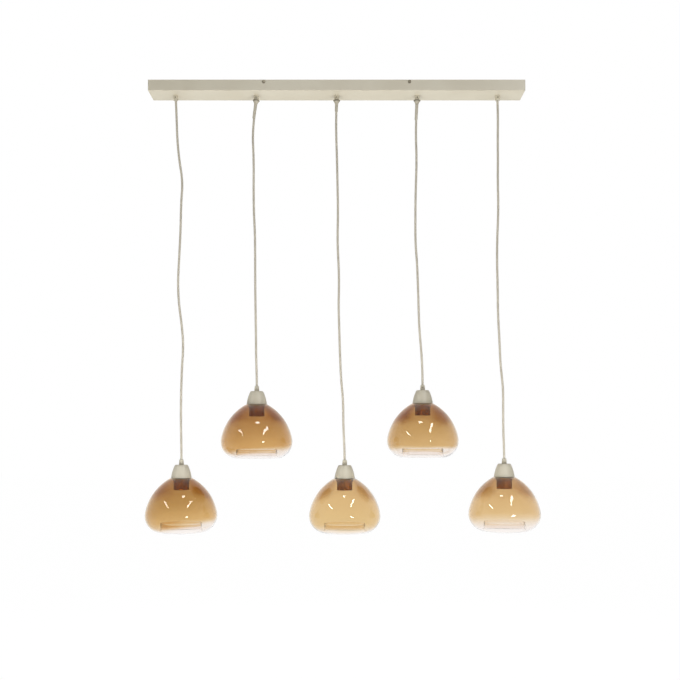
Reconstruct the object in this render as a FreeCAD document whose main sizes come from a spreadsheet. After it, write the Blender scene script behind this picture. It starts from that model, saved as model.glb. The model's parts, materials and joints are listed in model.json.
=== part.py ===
"""Linear island pendant: a ceiling canopy with five glass shades on textile cords.

Millimetres, +Z up. The origin is the middle of the ceiling plane, +X runs along the canopy and the
front faces -Y. Driving sizes are in the sheet "sizes", and sketches and placements are bound to it.
"""

import FreeCAD, Part
import math
import os

import Sketcher

Vector = FreeCAD.Vector

# Driving sizes, in mm and degrees
SIZES = {
    # canopy cover, a folded channel that is open towards the ceiling
    "canopy_length": 1000,
    "canopy_depth": 70,
    "canopy_height": 29,
    "canopy_wall": 1.2,
    "canopy_bend": 2,
    "ceiling_gap": 0.5,
    # bracket on the ceiling, and the screws that the cover hangs on
    "strap_length": 440,
    "strap_width": 50,
    "strap_wall": 1.5,
    "ear_width": 26,
    "ear_height": 12,
    "ear_play": 0.3,
    "side_screw_spacing": 386,
    "side_screw_drop": 6,
    "side_screw_r": 2,
    "side_screw_head_r": 4.4,
    "side_screw_head": 2.4,
    "side_screw_length": 8,
    "screw_play": 0.3,
    "thread_play": 0.02,
    "fixing_spacing": 300,
    "fixing_slot_width": 5.5,
    "fixing_slot_length": 16,
    "cable_hole_r": 11,
    # connector for three poles, and the earth screw
    "terminal_x": 108,
    "terminal_long": 18,
    "terminal_wide": 33,
    "terminal_high": 14,
    "terminal_pitch": 10.5,
    "terminal_wire_r": 1.7,
    "terminal_screw_r": 1.8,
    "terminal_screw_length": 4,
    "terminal_screw_spacing": 9,
    "terminal_notch": 1.2,
    "terminal_notch_depth": 3,
    "earth_x": -70,
    "earth_screw_r": 2,
    "earth_head_r": 3.9,
    "earth_head": 2.6,
    "earth_washer_r": 5,
    "earth_washer": 0.9,
    # cord outlets
    "outlet_pitch": 216,
    "gland_r": 6.25,
    "gland_drop": 13.5,
    "gland_stem_r": 5,
    "gland_stem_rise": 7.5,
    "gland_edge": 0.5,
    "gland_lip_r": 4.5,
    "gland_lip": 0.4,
    "gland_seat_r": 4.9,
    "gland_seat_top": 5.4,
    "nut_flats": 14,
    "nut_height": 3.5,
    "grub_r": 1.5,
    "grub_height": 7.2,
    "grub_sink": 0.3,
    "grub_bite": 0.15,
    "pivot_height": 1.6,
    "bush_r": 4.6,
    "bush_half_height": 1.8,
    "bush_flare": 0.3,
    # cords
    "cord_r": 3,
    "cord_play": 0.3,
    "sleeve_cup_r": 7,
    "sleeve_mouth_r": 9.4,
    "sleeve_mouth_drop": 1.4,
    "sleeve_neck_r": 4.3,
    "sleeve_neck_drop": 10.5,
    "sleeve_end_r": 3.9,
    # pendant heads, hung from the top of their caps
    "cap_top_r": 16.7,
    "cap_waist_r": 23.5,
    "cap_waist_height": 18,
    "cap_foot_r": 27.2,
    "cap_height": 35,
    "cap_wall": 1.2,
    "cap_shoulder": 2.5,
    "grip_foot_r": 6.4,
    "grip_top_r": 5.5,
    "grip_height": 14,
    "grip_edge": 0.8,
    "grip_stem_r": 4.9,
    "grip_stem": 14,
    "grip_screw_height": 7.5,
    "stem_play": 0.15,
    "thread_fit": 0.05,
    # glass shade
    "glass_wall": 2.6,
    "glass_hole_r": 20.7,
    "glass_shoulder_r": 28,
    "glass_crown_r": 130,
    "glass_side_r": 60,
    "glass_widest_r": 95,
    "glass_widest_drop": 100,
    "glass_turn_r": 44.5,
    "glass_rim_r": 6,
    "glass_mouth_r": 52,
    "glass_lip_drop": 119.5,
    # lampholder for a 27 mm screw base
    "holder_r": 20.25,
    "holder_wall": 1.8,
    "holder_drop": 32,
    "holder_flange_r": 24.5,
    "holder_flange": 3,
    "holder_dome_r": 12,
    "holder_dome_height": 24,
    "holder_shoulder_height": 14,
    "holder_neck": 6,
    "holder_step": 1,
    "holder_edge": 0.4,
    "ring_r": 23.2,
    "ring_height": 6.7,
    "ring_grip_height": 4,
    "ring_grip_inset": 0.8,
    "ring_edge": 0.8,
    "ring_play": 0.15,
    "core_play": 0.2,
    "core_seat": 4,
    "core_height": 8,
    "core_step": 2,
    "core_recess_r": 9,
    "core_hole_r": 2,
    "core_hole_spacing": 11,
    "shell_bore_r": 13.3,
    "shell_wall": 0.5,
    "shell_length": 30,
    "shell_collar_r": 14.8,
    "contact_r": 3,
    "contact_length": 2,
    "contact_edge": 1,
    "contact_gap": 1,
}

# Each pendant's outlet number from the middle, its head's offset from the outlet and its cap's top,
# how far the grip's screw is turned from the front in degrees, the sleeve's length from the pivot
# (0 for none), and the cord's route below the pivot as (along, front to back, height) from the
# outlet's axis. The last point is inside the cap.
PENDANTS = [
    {"outlet": -2, "aside": 18.5, "top": -1020.5, "screw_turn": 160, "sleeve": 0, "route": [
        (2.0, 0.6, -85), (4.2, -1.0, -145), (9.0, 0.8, -200), (19.0, 1.6, -262), (15.4, -1.2, -318),
        (13.8, 0.9, -395), (10.6, -0.8, -468), (7.0, 1.2, -532), (10.0, -0.6, -590),
        (17.0, 1.0, -640), (23.2, -1.2, -700), (18.4, 0.6, -768), (16.8, -0.8, -845),
        (16.6, 0.9, -915), (18.5, 0.0, -985), (18.5, 0.0, -1034)]},
    {"outlet": -1, "aside": 3.0, "top": -824.5, "screw_turn": -140, "sleeve": 50, "route": [
        (-10.6, 0.6, -120), (-6.2, -0.8, -202), (-6.8, 0.9, -284), (-5.8, -0.8, -345), (-2.8, 0.7, -400),
        (-2.0, -0.9, -470), (-1.8, 0.8, -545), (-0.8, -0.7, -605), (0.4, 0.6, -675),
        (1.0, -0.8, -735), (3.0, 0.0, -789),
        (3.0, 0.0, -838)]},
    {"outlet": 0, "aside": 21.5, "top": -1021.5, "screw_turn": 120, "sleeve": 32, "route": [
        (-1.4, 0.6, -88), (-1.2, -0.8, -140), (1.2, 0.9, -210), (2.4, -0.9, -275),
        (3.9, 0.7, -345), (2.0, -0.7, -425), (5.8, 0.9, -495), (6.4, -0.6, -545),
        (5.0, 0.8, -595), (7.0, -0.8, -660), (9.2, 0.7, -735), (12.0, -0.6, -795),
        (17.6, 0.8, -850), (17.8, -0.7, -920), (21.5, 0.0, -985), (21.5, 0.0, -1035)]},
    {"outlet": 1, "aside": 13.5, "top": -822.0, "screw_turn": 0, "sleeve": 54, "route": [
        (-4.2, 0.6, -121), (-1.2, -0.8, -203), (-4.0, 0.8, -284), (-5.2, -0.6, -355), (-4.9, 0.8, -430),
        (-0.8, -0.7, -480), (1.6, 0.9, -540), (3.2, -0.8, -605), (5.0, 0.6, -660), (11.2, -0.7, -730),
        (13.5, 0.0, -787), (13.5, 0.0, -836)]},
    {"outlet": 2, "aside": 14.5, "top": -1017.5, "screw_turn": -165, "sleeve": 0, "route": [
        (1.4, 0.6, -85), (0.2, -0.8, -150), (0.9, 0.8, -205), (-0.2, -0.7, -260),
        (1.8, 0.9, -335), (-2.2, -0.8, -418), (-2.6, 0.7, -480), (-1.2, -0.6, -550),
        (-0.6, 0.8, -620), (3.0, -0.8, -690), (5.6, 0.7, -755), (12.4, -0.6, -815),
        (12.4, 0.8, -878), (12.2, -0.7, -930), (14.5, 0.0, -983), (14.5, 0.0, -1031.5)]},
]

# The cords' ends inside the canopy, from each outlet to a pole of the connector: points as
# (along from the outlet's axis, front to back, height). The last one is at the connector's end face.
TAILS = [
    {"outlet": -2, "route": [
        (0, 0, -9.5), (30, -5.5, -9.8), (58, -15.0, -17.5), (96, -21.8, -24.9), (160, -20.6, -25),
        (226, -22.4, -24.9), (292, -20.8, -25), (360, -22.2, -24.9), (425, -20.6, -25),
        (468, -17.5, -22), (494, -12.5, -12), (513, -10.5, -8.6), (530.7, -10.5, -8.5)]},
    {"outlet": -1, "route": [
        (0, 0, -9.5), (30, -4.0, -9.8), (58, -10.5, -17.5), (94, -13.6, -24.9), (154, -12.6, -25),
        (214, -13.6, -24.9), (252, -8.0, -22), (278, -2.5, -12), (297, 0, -8.6), (314.7, 0, -8.5)]},
    {"outlet": 0, "route": [
        (0, 0, -9.5), (30, 3.5, -9.8), (54, 8.5, -14), (78, 10.6, -8.9), (98.7, 10.5, -8.5)]},
    {"outlet": 1, "route": [
        (0, 0, -9.5), (-30, -2.5, -9.8), (-54, -6.5, -14), (-78, -8.1, -8.9), (-98.7, -8, -8.5)]},
    {"outlet": 2, "route": [
        (0, 0, -9.5), (-30, 4.0, -9.8), (-58, 10.5, -17.5), (-94, 14.4, -24.9), (-154, 13.4, -25),
        (-214, 14.6, -24.9), (-252, 11.5, -22), (-278, 8.8, -12), (-297, 8, -8.6), (-314.7, 8, -8.5)]},
]

doc = FreeCAD.newDocument("island_pendant")
sheet = doc.addObject("Spreadsheet::Sheet", "sizes")
for row, (alias, number) in enumerate(SIZES.items(), start=1):
    sheet.set(f"A{row}", alias)
    sheet.set(f"B{row}", str(number))
    sheet.setAlias(f"B{row}", alias)
doc.recompute()


class Size:
    """A number and the formula that gives it, so that what is drawn stays bound to the sheet."""

    def __init__(self, number, formula=None):
        self.number = float(number)
        self.formula = formula or f"{number:.9g}"

    @staticmethod
    def of(value):
        return value if isinstance(value, Size) else Size(value)

    def _joined(self, other, sign, number):
        return Size(number, f"({self.formula} {sign} {Size.of(other).formula})")

    def __add__(self, other):
        return self._joined(other, "+", self.number + Size.of(other).number)

    def __sub__(self, other):
        return self._joined(other, "-", self.number - Size.of(other).number)

    def __mul__(self, other):
        return self._joined(other, "*", self.number * Size.of(other).number)

    def __truediv__(self, other):
        return self._joined(other, "/", self.number / Size.of(other).number)

    def __radd__(self, other):
        return Size.of(other) + self

    def __rsub__(self, other):
        return Size.of(other) - self

    def __rmul__(self, other):
        return Size.of(other) * self

    def __neg__(self):
        return 0 - self


def root(value):
    """The square root of a size."""
    return Size(math.sqrt(value.number), f"sqrt({value.formula})")


def size(alias):
    """The sheet's size of this name."""
    return Size(getattr(sheet, alias), f"<<sizes>>.{alias}")


def mm(value):
    """A size's plain number, for the shapes that are made from numbers."""
    return Size.of(value).number


def place(feature, x=0, y=0, z=0):
    """Bind a feature's place to sizes."""
    feature.Placement.Base = Vector(mm(x), mm(y), mm(z))
    for axis, value in zip("xyz", (x, y, z)):
        if isinstance(value, Size):
            feature.setExpression(f"Placement.Base.{axis}", value.formula)


# Every sub-part: its node's name and the object that holds it
nodes = {}


def keep(feature, node):
    """Name an object as a sub-part."""
    feature.Label = node
    nodes[node] = feature
    return feature


def new_body(name):
    return doc.addObject("PartDesign::Body", name)


def origin_feature(body, role):
    return next(f for f in body.Origin.OriginFeatures if f.Role == role)


def bind(sketch, kind, value, *geometry):
    """Add a constraint whose value follows a size."""
    number = sketch.addConstraint(Sketcher.Constraint(kind, *geometry, mm(value)))
    if Size.of(value).formula != f"{mm(value):.9g}":
        sketch.setExpression(f"Constraints[{number}]", value.formula)


def pin_point(sketch, geometry, end, across, up):
    """Fix a point of a sketch at sizes from the sketch's origin."""
    bind(sketch, "DistanceX", across, -1, 1, geometry, end)
    bind(sketch, "DistanceY", up, -1, 1, geometry, end)


def outline(body, plane, corners, name="outline", lift=None):
    """Draw a closed outline. A corner is (across, up), or (across, up, via), where via is a point
    (across, up) that an arc passes on its way to the next corner."""
    sketch = body.newObject("Sketcher::SketchObject", name)
    sketch.AttachmentSupport = (origin_feature(body, plane), [""])
    sketch.MapMode = "FlatFace"
    if lift is not None:
        sketch.setExpression("AttachmentOffset.Base.z", Size.of(lift).formula)
    spots = [Vector(mm(c[0]), mm(c[1]), 0) for c in corners]
    for number, corner in enumerate(corners):
        start, end = spots[number], spots[(number + 1) % len(spots)]
        if len(corner) == 3:
            via = Vector(mm(corner[2][0]), mm(corner[2][1]), 0)
            sketch.addGeometry(Part.Arc(start, via, end), False)
        else:
            sketch.addGeometry(Part.LineSegment(start, end), False)
    # an arc drawn clockwise is stored the other way round, so its first point is its last corner
    ends = []
    for number in range(len(corners)):
        first = sketch.getPoint(number, 1)
        ends.append((1, 2) if first.distanceToPoint(spots[number]) < 1e-6 else (2, 1))
    for number in range(len(corners)):
        after = (number + 1) % len(corners)
        sketch.addConstraint(
            Sketcher.Constraint("Coincident", number, ends[number][1], after, ends[after][0])
        )
    for number, corner in enumerate(corners):
        pin_point(sketch, number, ends[number][0], corner[0], corner[1])
        if len(corner) == 3:
            spot = sketch.addGeometry(Part.Point(Vector(mm(corner[2][0]), mm(corner[2][1]), 0)), True)
            pin_point(sketch, spot, 1, *corner[2])
            sketch.addConstraint(Sketcher.Constraint("PointOnObject", spot, 1, number))
    return sketch


def turned(name, corners):
    """A piece turned on a lathe about its Z axis, from an outline of (radius, height) corners."""
    body = new_body(name)
    sketch = outline(body, "XZ_Plane", corners)
    turn = body.newObject("PartDesign::Revolution", "turn")
    turn.Profile = sketch
    turn.ReferenceAxis = (sketch, ["V_Axis"])
    turn.Angle = 360
    return body


def padded(body, plane, corners, length, both=False, name="pad", lift=None, reverse=False):
    """Draw an outline on a plane of the body and pad it."""
    sketch = outline(body, plane, corners, f"{name}_outline", lift)
    pad = body.newObject("PartDesign::Pad", name)
    pad.Profile = sketch
    pad.Midplane = both
    pad.Reversed = reverse
    pad.Length = mm(length)
    pad.setExpression("Length", Size.of(length).formula)
    return pad


def pocket(body, sketch, length, name, both=False, reverse=False):
    """Cut a sketch into the body."""
    cut = body.newObject("PartDesign::Pocket", name)
    cut.Profile = sketch
    cut.Midplane = both
    cut.Reversed = reverse
    cut.Length = mm(length)
    cut.setExpression("Length", Size.of(length).formula)
    return cut


def holes_sketch(body, plane, spots, radius, name, lift=None):
    """Circles of one radius at (across, up) spots on a plane of the body."""
    sketch = body.newObject("Sketcher::SketchObject", name)
    sketch.AttachmentSupport = (origin_feature(body, plane), [""])
    sketch.MapMode = "FlatFace"
    if lift is not None:
        sketch.setExpression("AttachmentOffset.Base.z", Size.of(lift).formula)
    for number, (across, up) in enumerate(spots):
        centre = Vector(mm(across), mm(up), 0)
        sketch.addGeometry(Part.Circle(centre, Vector(0, 0, 1), mm(radius)), False)
        pin_point(sketch, number, 3, across, up)
        bind(sketch, "Radius", radius, number)
    return sketch


def rectangle(left, right, low, high):
    return [(left, low), (right, low), (right, high), (left, high)]


def edges_where(shape, wanted):
    """Names of the edges whose middle point passes a test."""
    found = []
    for number, edge in enumerate(shape.Edges, start=1):
        middle = edge.valueAt((edge.FirstParameter + edge.LastParameter) / 2)
        if wanted(edge, middle):
            found.append(f"Edge{number}")
    return found


def rounded(body, feature, radius, wanted, name):
    """Round the edges of a feature that pass a test."""
    doc.recompute()
    fillet = body.newObject("PartDesign::Fillet", name)
    fillet.Base = (feature, edges_where(feature.Shape, wanted))
    fillet.Radius = mm(radius)
    fillet.setExpression("Radius", Size.of(radius).formula)
    return fillet


# Places that several pieces share
OUTLETS = len(PENDANTS)
pitch = size("outlet_pitch")
canopy_top = -size("ceiling_gap")
canopy_base = canopy_top - size("canopy_height")
canopy_floor = canopy_base + size("canopy_wall")
strap_under = -size("strap_wall")
gland_mouth = canopy_base - size("gland_drop")
pivot = gland_mouth + size("pivot_height")
cord_bore_r = size("cord_r") + size("cord_play")


def canopy_cover():
    """The folded cover, with rounded lower folds, five outlet holes and four screw holes."""
    body = new_body("cover")
    length, depth, wall = size("canopy_length"), size("canopy_depth"), size("canopy_wall")
    block = padded(body, "XY_Plane", rectangle(-length / 2, length / 2, -depth / 2, depth / 2),
                   size("canopy_height"), name="block")
    high = mm(size("canopy_height"))
    fold = rounded(body, block, size("canopy_bend"),
                   lambda edge, middle: middle.z < 0.01 or (
                       abs(middle.z - high / 2) < 0.01 and abs(middle.x) > 1), "folds")
    doc.recompute()
    inside = outline(body, "XY_Plane",
                     rectangle(wall - length / 2, length / 2 - wall, wall - depth / 2, depth / 2 - wall),
                     "inside_outline", wall)
    hollow = pocket(body, inside, size("canopy_height"), "inside", reverse=True)
    doc.recompute()
    floor_z = mm(wall)
    rounded(body, hollow, size("canopy_bend") - wall,
            lambda edge, middle: abs(middle.z - floor_z) < 0.01, "inner_folds")
    spots = [(pitch * (number - (OUTLETS - 1) / 2), Size(0)) for number in range(OUTLETS)]
    outlets = holes_sketch(body, "XY_Plane", spots, size("gland_stem_r") + size("stem_play"), "outlets")
    pocket(body, outlets, wall, "outlet_holes", reverse=True)
    spacing = size("side_screw_spacing")
    height = size("canopy_height") - size("side_screw_drop") + size("ceiling_gap")
    screws = holes_sketch(body, "XZ_Plane", [(-spacing / 2, height), (spacing / 2, height)],
                          size("side_screw_r") + size("screw_play"), "screw_spots")
    pocket(body, screws, depth + wall * 2, "screw_holes", both=True)
    place(body, z=canopy_base)
    return keep(body, "canopy_cover")


def ceiling_bracket():
    """The strap on the ceiling: slots for its screws, a cable hole and four ears bent down."""
    body = new_body("bracket")
    wall, wide = size("strap_wall"), size("strap_width")
    long_half = size("strap_length") / 2
    padded(body, "XY_Plane", rectangle(-long_half, long_half, -wide / 2, wide / 2), wall,
           name="strap", reverse=True)
    reach = size("canopy_depth") / 2 - size("canopy_wall") - size("ear_play")
    spacing, ear = size("side_screw_spacing"), size("ear_width")
    for side in (-1, 1):
        middle = spacing / 2 * side
        name = "left" if side < 0 else "right"
        padded(body, "YZ_Plane",
               [(-reach, -size("ear_height")), (wall - reach, -size("ear_height")),
                (wall - reach, -wall), (reach - wall, -wall), (reach - wall, -size("ear_height")),
                (reach, -size("ear_height")), (reach, Size(0)), (-reach, Size(0))],
               ear, name=f"{name}_ears", lift=middle - ear / 2)
    holes = [(-spacing / 2, -size("side_screw_drop")), (spacing / 2, -size("side_screw_drop"))]
    threads = holes_sketch(body, "XZ_Plane", holes, size("side_screw_r") + size("thread_play"), "ear_spots")
    pocket(body, threads, size("canopy_depth"), "ear_holes", both=True)
    cable = holes_sketch(body, "XY_Plane", [(Size(0), Size(0))], size("cable_hole_r"), "cable_spot")
    pocket(body, cable, wall * 2, "cable_hole", both=True)
    earth = holes_sketch(body, "XY_Plane", [(size("earth_x"), Size(0))],
                         size("earth_screw_r") + size("thread_play"), "earth_spot")
    pocket(body, earth, wall * 2, "earth_hole", both=True)
    half_slot = size("fixing_slot_width") / 2
    straight = size("fixing_slot_length") / 2 - half_slot
    for side in (-1, 1):
        middle = size("fixing_spacing") / 2 * side
        slot = outline(body, "XY_Plane", [
            (middle - straight, -half_slot),
            (middle + straight, -half_slot, (middle + straight + half_slot, Size(0))),
            (middle + straight, half_slot),
            (middle - straight, half_slot, (middle - straight - half_slot, Size(0))),
        ], "left_slot" if side < 0 else "right_slot")
        pocket(body, slot, wall * 2, "slot_cut", both=True)
    return keep(body, "ceiling_bracket")


def side_screws():
    """Four pan-head screws with a hex socket, through the cover into the bracket's ears."""
    radius, head_r, head = size("side_screw_r"), size("side_screw_head_r"), size("side_screw_head")
    outside = size("canopy_depth") / 2
    screws = []
    for end in (-1, 1):
        for face in (-1, 1):
            body = turned("side_screw", [
                (Size(0), -size("side_screw_length")), (radius, -size("side_screw_length")),
                (radius, Size(0)), (head_r, Size(0)), (head_r, head * 0.55),
                (head_r * 0.72, head), (head_r * 0.35, head), (head_r * 0.35, head * 0.4),
                (Size(0), head * 0.4),
            ])
            place(body, size("side_screw_spacing") / 2 * end, outside * face, -size("side_screw_drop"))
            body.Placement.Rotation = FreeCAD.Rotation(Vector(1, 0, 0), -90 * face)
            screws.append(body)
    return keep(group("side_screw_set", screws), "side_screws")


def group(name, members):
    """Several solids of one node."""
    compound = doc.addObject("Part::Compound", name)
    compound.Links = members
    return compound


def terminal_block():
    """A three-pole connector: a moulded block with ribs between the poles and wire and screw holes."""
    body = new_body("connector")
    long_half, wide_half = size("terminal_long") / 2, size("terminal_wide") / 2
    high, poles = size("terminal_high"), size("terminal_pitch")
    padded(body, "XY_Plane", rectangle(-long_half, long_half, -wide_half, wide_half), high,
           name="block", reverse=True)
    wires = holes_sketch(body, "YZ_Plane", [(poles * k, -high / 2) for k in (-1, 0, 1)],
                         size("terminal_wire_r"), "wire_spots")
    pocket(body, wires, size("terminal_long") + 1, "wire_holes", both=True)
    reach = size("terminal_screw_spacing") / 2
    spots = [(reach * side, poles * k) for side in (-1, 1) for k in (-1, 0, 1)]
    wells = holes_sketch(body, "XY_Plane", spots, size("terminal_screw_r") + size("thread_play"),
                         "screw_spots", -high)
    pocket(body, wells, high / 2, "screw_wells", reverse=True)
    half = size("terminal_notch") / 2
    for side in (-1, 1):
        middle = poles / 2 * side
        slot = outline(body, "YZ_Plane", rectangle(middle - half, middle + half, -high,
                                                   size("terminal_notch_depth") - high),
                       "notch_left" if side < 0 else "notch_right")
        pocket(body, slot, size("terminal_long") + 1, "notch", both=True)
    place(body, size("terminal_x"), 0, strap_under)
    return keep(body, "terminal_block")


def terminal_screws():
    """The connector's six slotted screws, in their wells."""
    screws = []
    radius, long = size("terminal_screw_r"), size("terminal_screw_length")
    for side in (-1, 1):
        for pole in (-1, 0, 1):
            body = turned("pole_screw", [
                (Size(0), Size(0)), (radius * 0.9, Size(0)), (radius, radius * 0.2),
                (radius, long), (Size(0), long),
            ])
            place(body, size("terminal_x") + size("terminal_screw_spacing") / 2 * side,
                  size("terminal_pitch") * pole,
                  strap_under - size("terminal_high") + 0.6)
            screws.append(body)
    return keep(group("pole_screw_set", screws), "terminal_screws")


def earth_screw():
    """The earth screw in the bracket, with its cupped washer."""
    radius, head_r, head = size("earth_screw_r"), size("earth_head_r"), size("earth_head")
    under = strap_under - size("earth_washer")
    screw = turned("earth_pin", [
        (Size(0), Size(0)), (head_r * 0.8, Size(0)), (head_r, head * 0.4), (head_r, head),
        (radius, head), (radius, head + size("earth_washer") + size("strap_wall")),
        (Size(0), head + size("earth_washer") + size("strap_wall")),
    ])
    place(screw, size("earth_x"), 0, under - head)
    washer = turned("earth_washer_ring", [
        (radius + 0.1, Size(0)), (size("earth_washer_r"), Size(0)),
        (size("earth_washer_r"), size("earth_washer")), (radius + 0.1, size("earth_washer")),
    ])
    place(washer, size("earth_x"), 0, under)
    return keep(group("earth_set", [screw, washer]), "earth_screw")


def first_outlet():
    return -pitch * (OUTLETS - 1) / 2


def gland_bodies():
    """The cord outlets: a round body under the cover and a threaded stem through it. The mouth has
    a seat for the ball bush behind a lip, and a side hole takes the grub screw."""
    seat_top, lip, edge = size("gland_seat_top"), size("gland_lip"), size("gland_edge")
    drop = size("gland_drop")
    stem_top = drop + size("canopy_wall") + size("gland_stem_rise")
    body = turned("gland", [
        (size("gland_lip_r"), Size(0)), (size("gland_r") - edge, Size(0)), (size("gland_r"), edge),
        (size("gland_r"), drop), (size("gland_stem_r"), drop), (size("gland_stem_r"), stem_top),
        (cord_bore_r, stem_top), (cord_bore_r, seat_top), (size("gland_seat_r"), seat_top),
        (size("gland_seat_r"), lip), (size("gland_lip_r"), lip),
    ])
    side = holes_sketch(body, "XZ_Plane", [(Size(0), size("grub_height"))],
                        size("grub_r") + size("thread_play"), "grub_spot")
    pocket(body, side, size("gland_r") + 1, "grub_hole", reverse=True)
    return repeated_outlets(body, gland_mouth, "gland_bodies")


def repeated_outlets(body, height, node):
    """The same turned piece at each outlet, as separate solids of one node."""
    copies = []
    for number in range(OUTLETS):
        copy = doc.addObject("Part::Feature", f"{node}_copy")
        doc.recompute()
        copy.Shape = body.Shape
        place(copy, first_outlet() + pitch * number, 0, height)
        copies.append(copy)
    return keep(group(f"{node}_set", copies), node)


def gland_nuts():
    """Hexagon nuts that hold the outlets from inside the cover."""
    body = new_body("nut")
    corner = size("nut_flats") / math.sqrt(3)
    corners = [(corner * math.cos(math.radians(60 * k)), corner * math.sin(math.radians(60 * k)))
               for k in range(6)]
    padded(body, "XY_Plane", corners, size("nut_height"), name="hexagon")
    bore = holes_sketch(body, "XY_Plane", [(Size(0), Size(0))], 
                        size("gland_stem_r") + size("thread_play"), "bore_spot")
    pocket(body, bore, size("nut_height"), "bore", reverse=True)
    return repeated_outlets(body, canopy_floor, "gland_nuts")


def grub_screw(outer, turn=0):
    """A grub screw that clamps a cord, with its hex socket outwards at a radius. It points to the
    front, or turned from there about the cord. Returns it with its tip's place."""
    radius, inner = size("grub_r"), cord_bore_r - size("grub_bite")
    long = outer - inner
    body = turned("grub", [
        (Size(0), Size(0)), (radius, Size(0)), (radius, long), (radius * 0.55, long),
        (radius * 0.55, long * 0.5), (Size(0), long * 0.5),
    ])
    body.Placement.Rotation = FreeCAD.Rotation(Vector(0, 0, 1), turn).multiply(
        FreeCAD.Rotation(Vector(1, 0, 0), 90))
    angle = math.radians(turn)
    return body, inner * math.sin(angle), -inner * math.cos(angle)


def gland_grub_screws():
    """Grub screws that clamp the cords in the outlets."""
    body, across, forward = grub_screw(size("gland_r") - size("grub_sink"))
    place(body, across, forward, size("grub_height"))
    holder = doc.addObject("Part::Compound", "grub_at_outlet")
    holder.Links = [body]
    return repeated_outlets(holder, gland_mouth, "gland_grub_screws")


def tube_along(points, radius, name):
    """A round tube along straight runs joined by tangent arcs. Returns the shape, and prints the
    arcs' radii and how the volume compares with section times length."""
    spots = [Vector(*p) for p in points]
    edges, at, radii = [], spots[0], []
    for before, here, after in zip(spots, spots[1:], spots[2:]):
        one, two = (before - here), (after - here)
        turn = math.pi - one.getAngle(two)
        reach = 0.45 * min(one.Length, two.Length)
        one.normalize()
        two.normalize()
        start, end = here + one * reach, here + two * reach
        bend = reach / math.tan(turn / 2)
        radii.append(bend)
        inward = one + two
        inward.normalize()
        middle = here + inward * (bend / math.cos(turn / 2) - bend)
        edges.append(Part.LineSegment(at, start).toShape())
        edges.append(Part.Arc(start, middle, end).toShape())
        at = end
    edges.append(Part.LineSegment(at, spots[-1]).toShape())
    path = Part.Wire(edges)
    along = spots[1] - spots[0]
    ring = Part.Wire([Part.Circle(spots[0], along, radius).toShape()])
    tube = path.makePipeShell([ring], True, False)
    expected = math.pi * radius ** 2 * path.Length
    print(f"{name}: length {path.Length:.1f}, least radius {min(radii):.0f}, "
          f"volume {100 * tube.Volume / expected:.2f}% of section times length")
    return tube


def solid_feature(name, shape, x=0, y=0, z=0):
    feature = doc.addObject("Part::Feature", name)
    feature.Shape = shape
    place(feature, x, y, z)
    return feature


def lead_tails():
    """The cords' ends inside the canopy: from over the outlets' seats up, across and along to the
    connector."""
    tails = []
    for tail in TAILS:
        points = [(0, 0, mm(gland_mouth + size("gland_seat_top")))] + tail["route"]
        shape = tube_along(points, mm(size("cord_r")), f"tail {tail['outlet']}")
        tails.append(solid_feature("tail", shape, pitch * tail["outlet"]))
    return keep(group("tail_set", tails), "lead_tails")


def outlet_x(pendant):
    return pitch * pendant["outlet"]


def cord_bush(number, pendant):
    """A ball-shaped bush in the outlet's mouth, cut flat above and below, with a flared bore."""
    radius, half = size("bush_r"), size("bush_half_height")
    flat, flared = root(radius * radius - half * half), cord_bore_r + size("bush_flare")
    body = turned("bush", [
        (flared, -half), (flat, -half, (radius, Size(0))), (flat, half), (flared, half),
        (cord_bore_r, Size(0)),
    ])
    place(body, outlet_x(pendant), 0, pivot)
    return keep(body, f"cord_bush_{number}")


def cord(number, pendant):
    """A textile cord from the outlet's mouth down into the cap."""
    points = [(0, 0, mm(pivot))] + pendant["route"]
    shape = tube_along(points, mm(size("cord_r")), f"cord {number}")
    return keep(solid_feature("cord", shape, outlet_x(pendant)), f"cord_{number}")


def cord_sleeve(number, pendant):
    """A tapered bend sleeve on the cord's first run. Its mouth is a cup round the pivot, which
    clears the outlet as the pendant swings."""
    cup, mouth, drop = size("sleeve_cup_r"), size("sleeve_mouth_r"), size("sleeve_mouth_drop")
    bore, neck, long = cord_bore_r, size("sleeve_neck_drop"), pendant["sleeve"]
    rim = root(cup * cup - drop * drop)
    deep = root(cup * cup - bore * bore)
    via_r, via_z = cup * math.sin(math.radians(52)), cup * math.cos(math.radians(52))
    body = turned("sleeve", [
        (rim, -drop, (via_r, -via_z)), (bore, -deep), (bore, Size(-long)),
        (size("sleeve_end_r"), Size(-long)), (size("sleeve_neck_r"), -neck), (mouth, -drop),
    ])
    first = Vector(*pendant["route"][0]) - Vector(0, 0, mm(pivot))
    place(body, outlet_x(pendant), 0, pivot)
    body.Placement.Rotation = FreeCAD.Rotation(Vector(0, 0, -1), first)
    return keep(body, f"cord_sleeve_{number}")


def head_place(body, pendant, height=0):
    """Put a piece of a head on its axis, at a height from the top of its cap."""
    place(body, outlet_x(pendant) + pendant["aside"], 0, height + pendant["top"])


def cord_grip(number, pendant):
    """The turned grip on the cap, with its stem into the lampholder and a side hole for its screw."""
    stem, high = size("grip_stem"), size("grip_height")
    body = turned("grip", [
        (cord_bore_r, -stem), (size("grip_stem_r"), -stem), (size("grip_stem_r"), Size(0)),
        (size("grip_foot_r"), Size(0)), (size("grip_foot_r"), high * 0.3),
        (size("grip_top_r"), high - size("grip_edge")), (size("grip_top_r") - size("grip_edge"), high),
        (cord_bore_r, high),
    ])
    side = holes_sketch(body, "XZ_Plane", [(Size(0), size("grip_screw_height"))],
                        size("grub_r") + size("thread_play"), "screw_spot")
    pocket(body, side, size("grip_foot_r"), "screw_hole", reverse=True)
    head_place(body, pendant)
    body.Placement.Rotation = FreeCAD.Rotation(Vector(0, 0, 1), pendant["screw_turn"])
    return keep(body, f"cord_grip_{number}")


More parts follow.
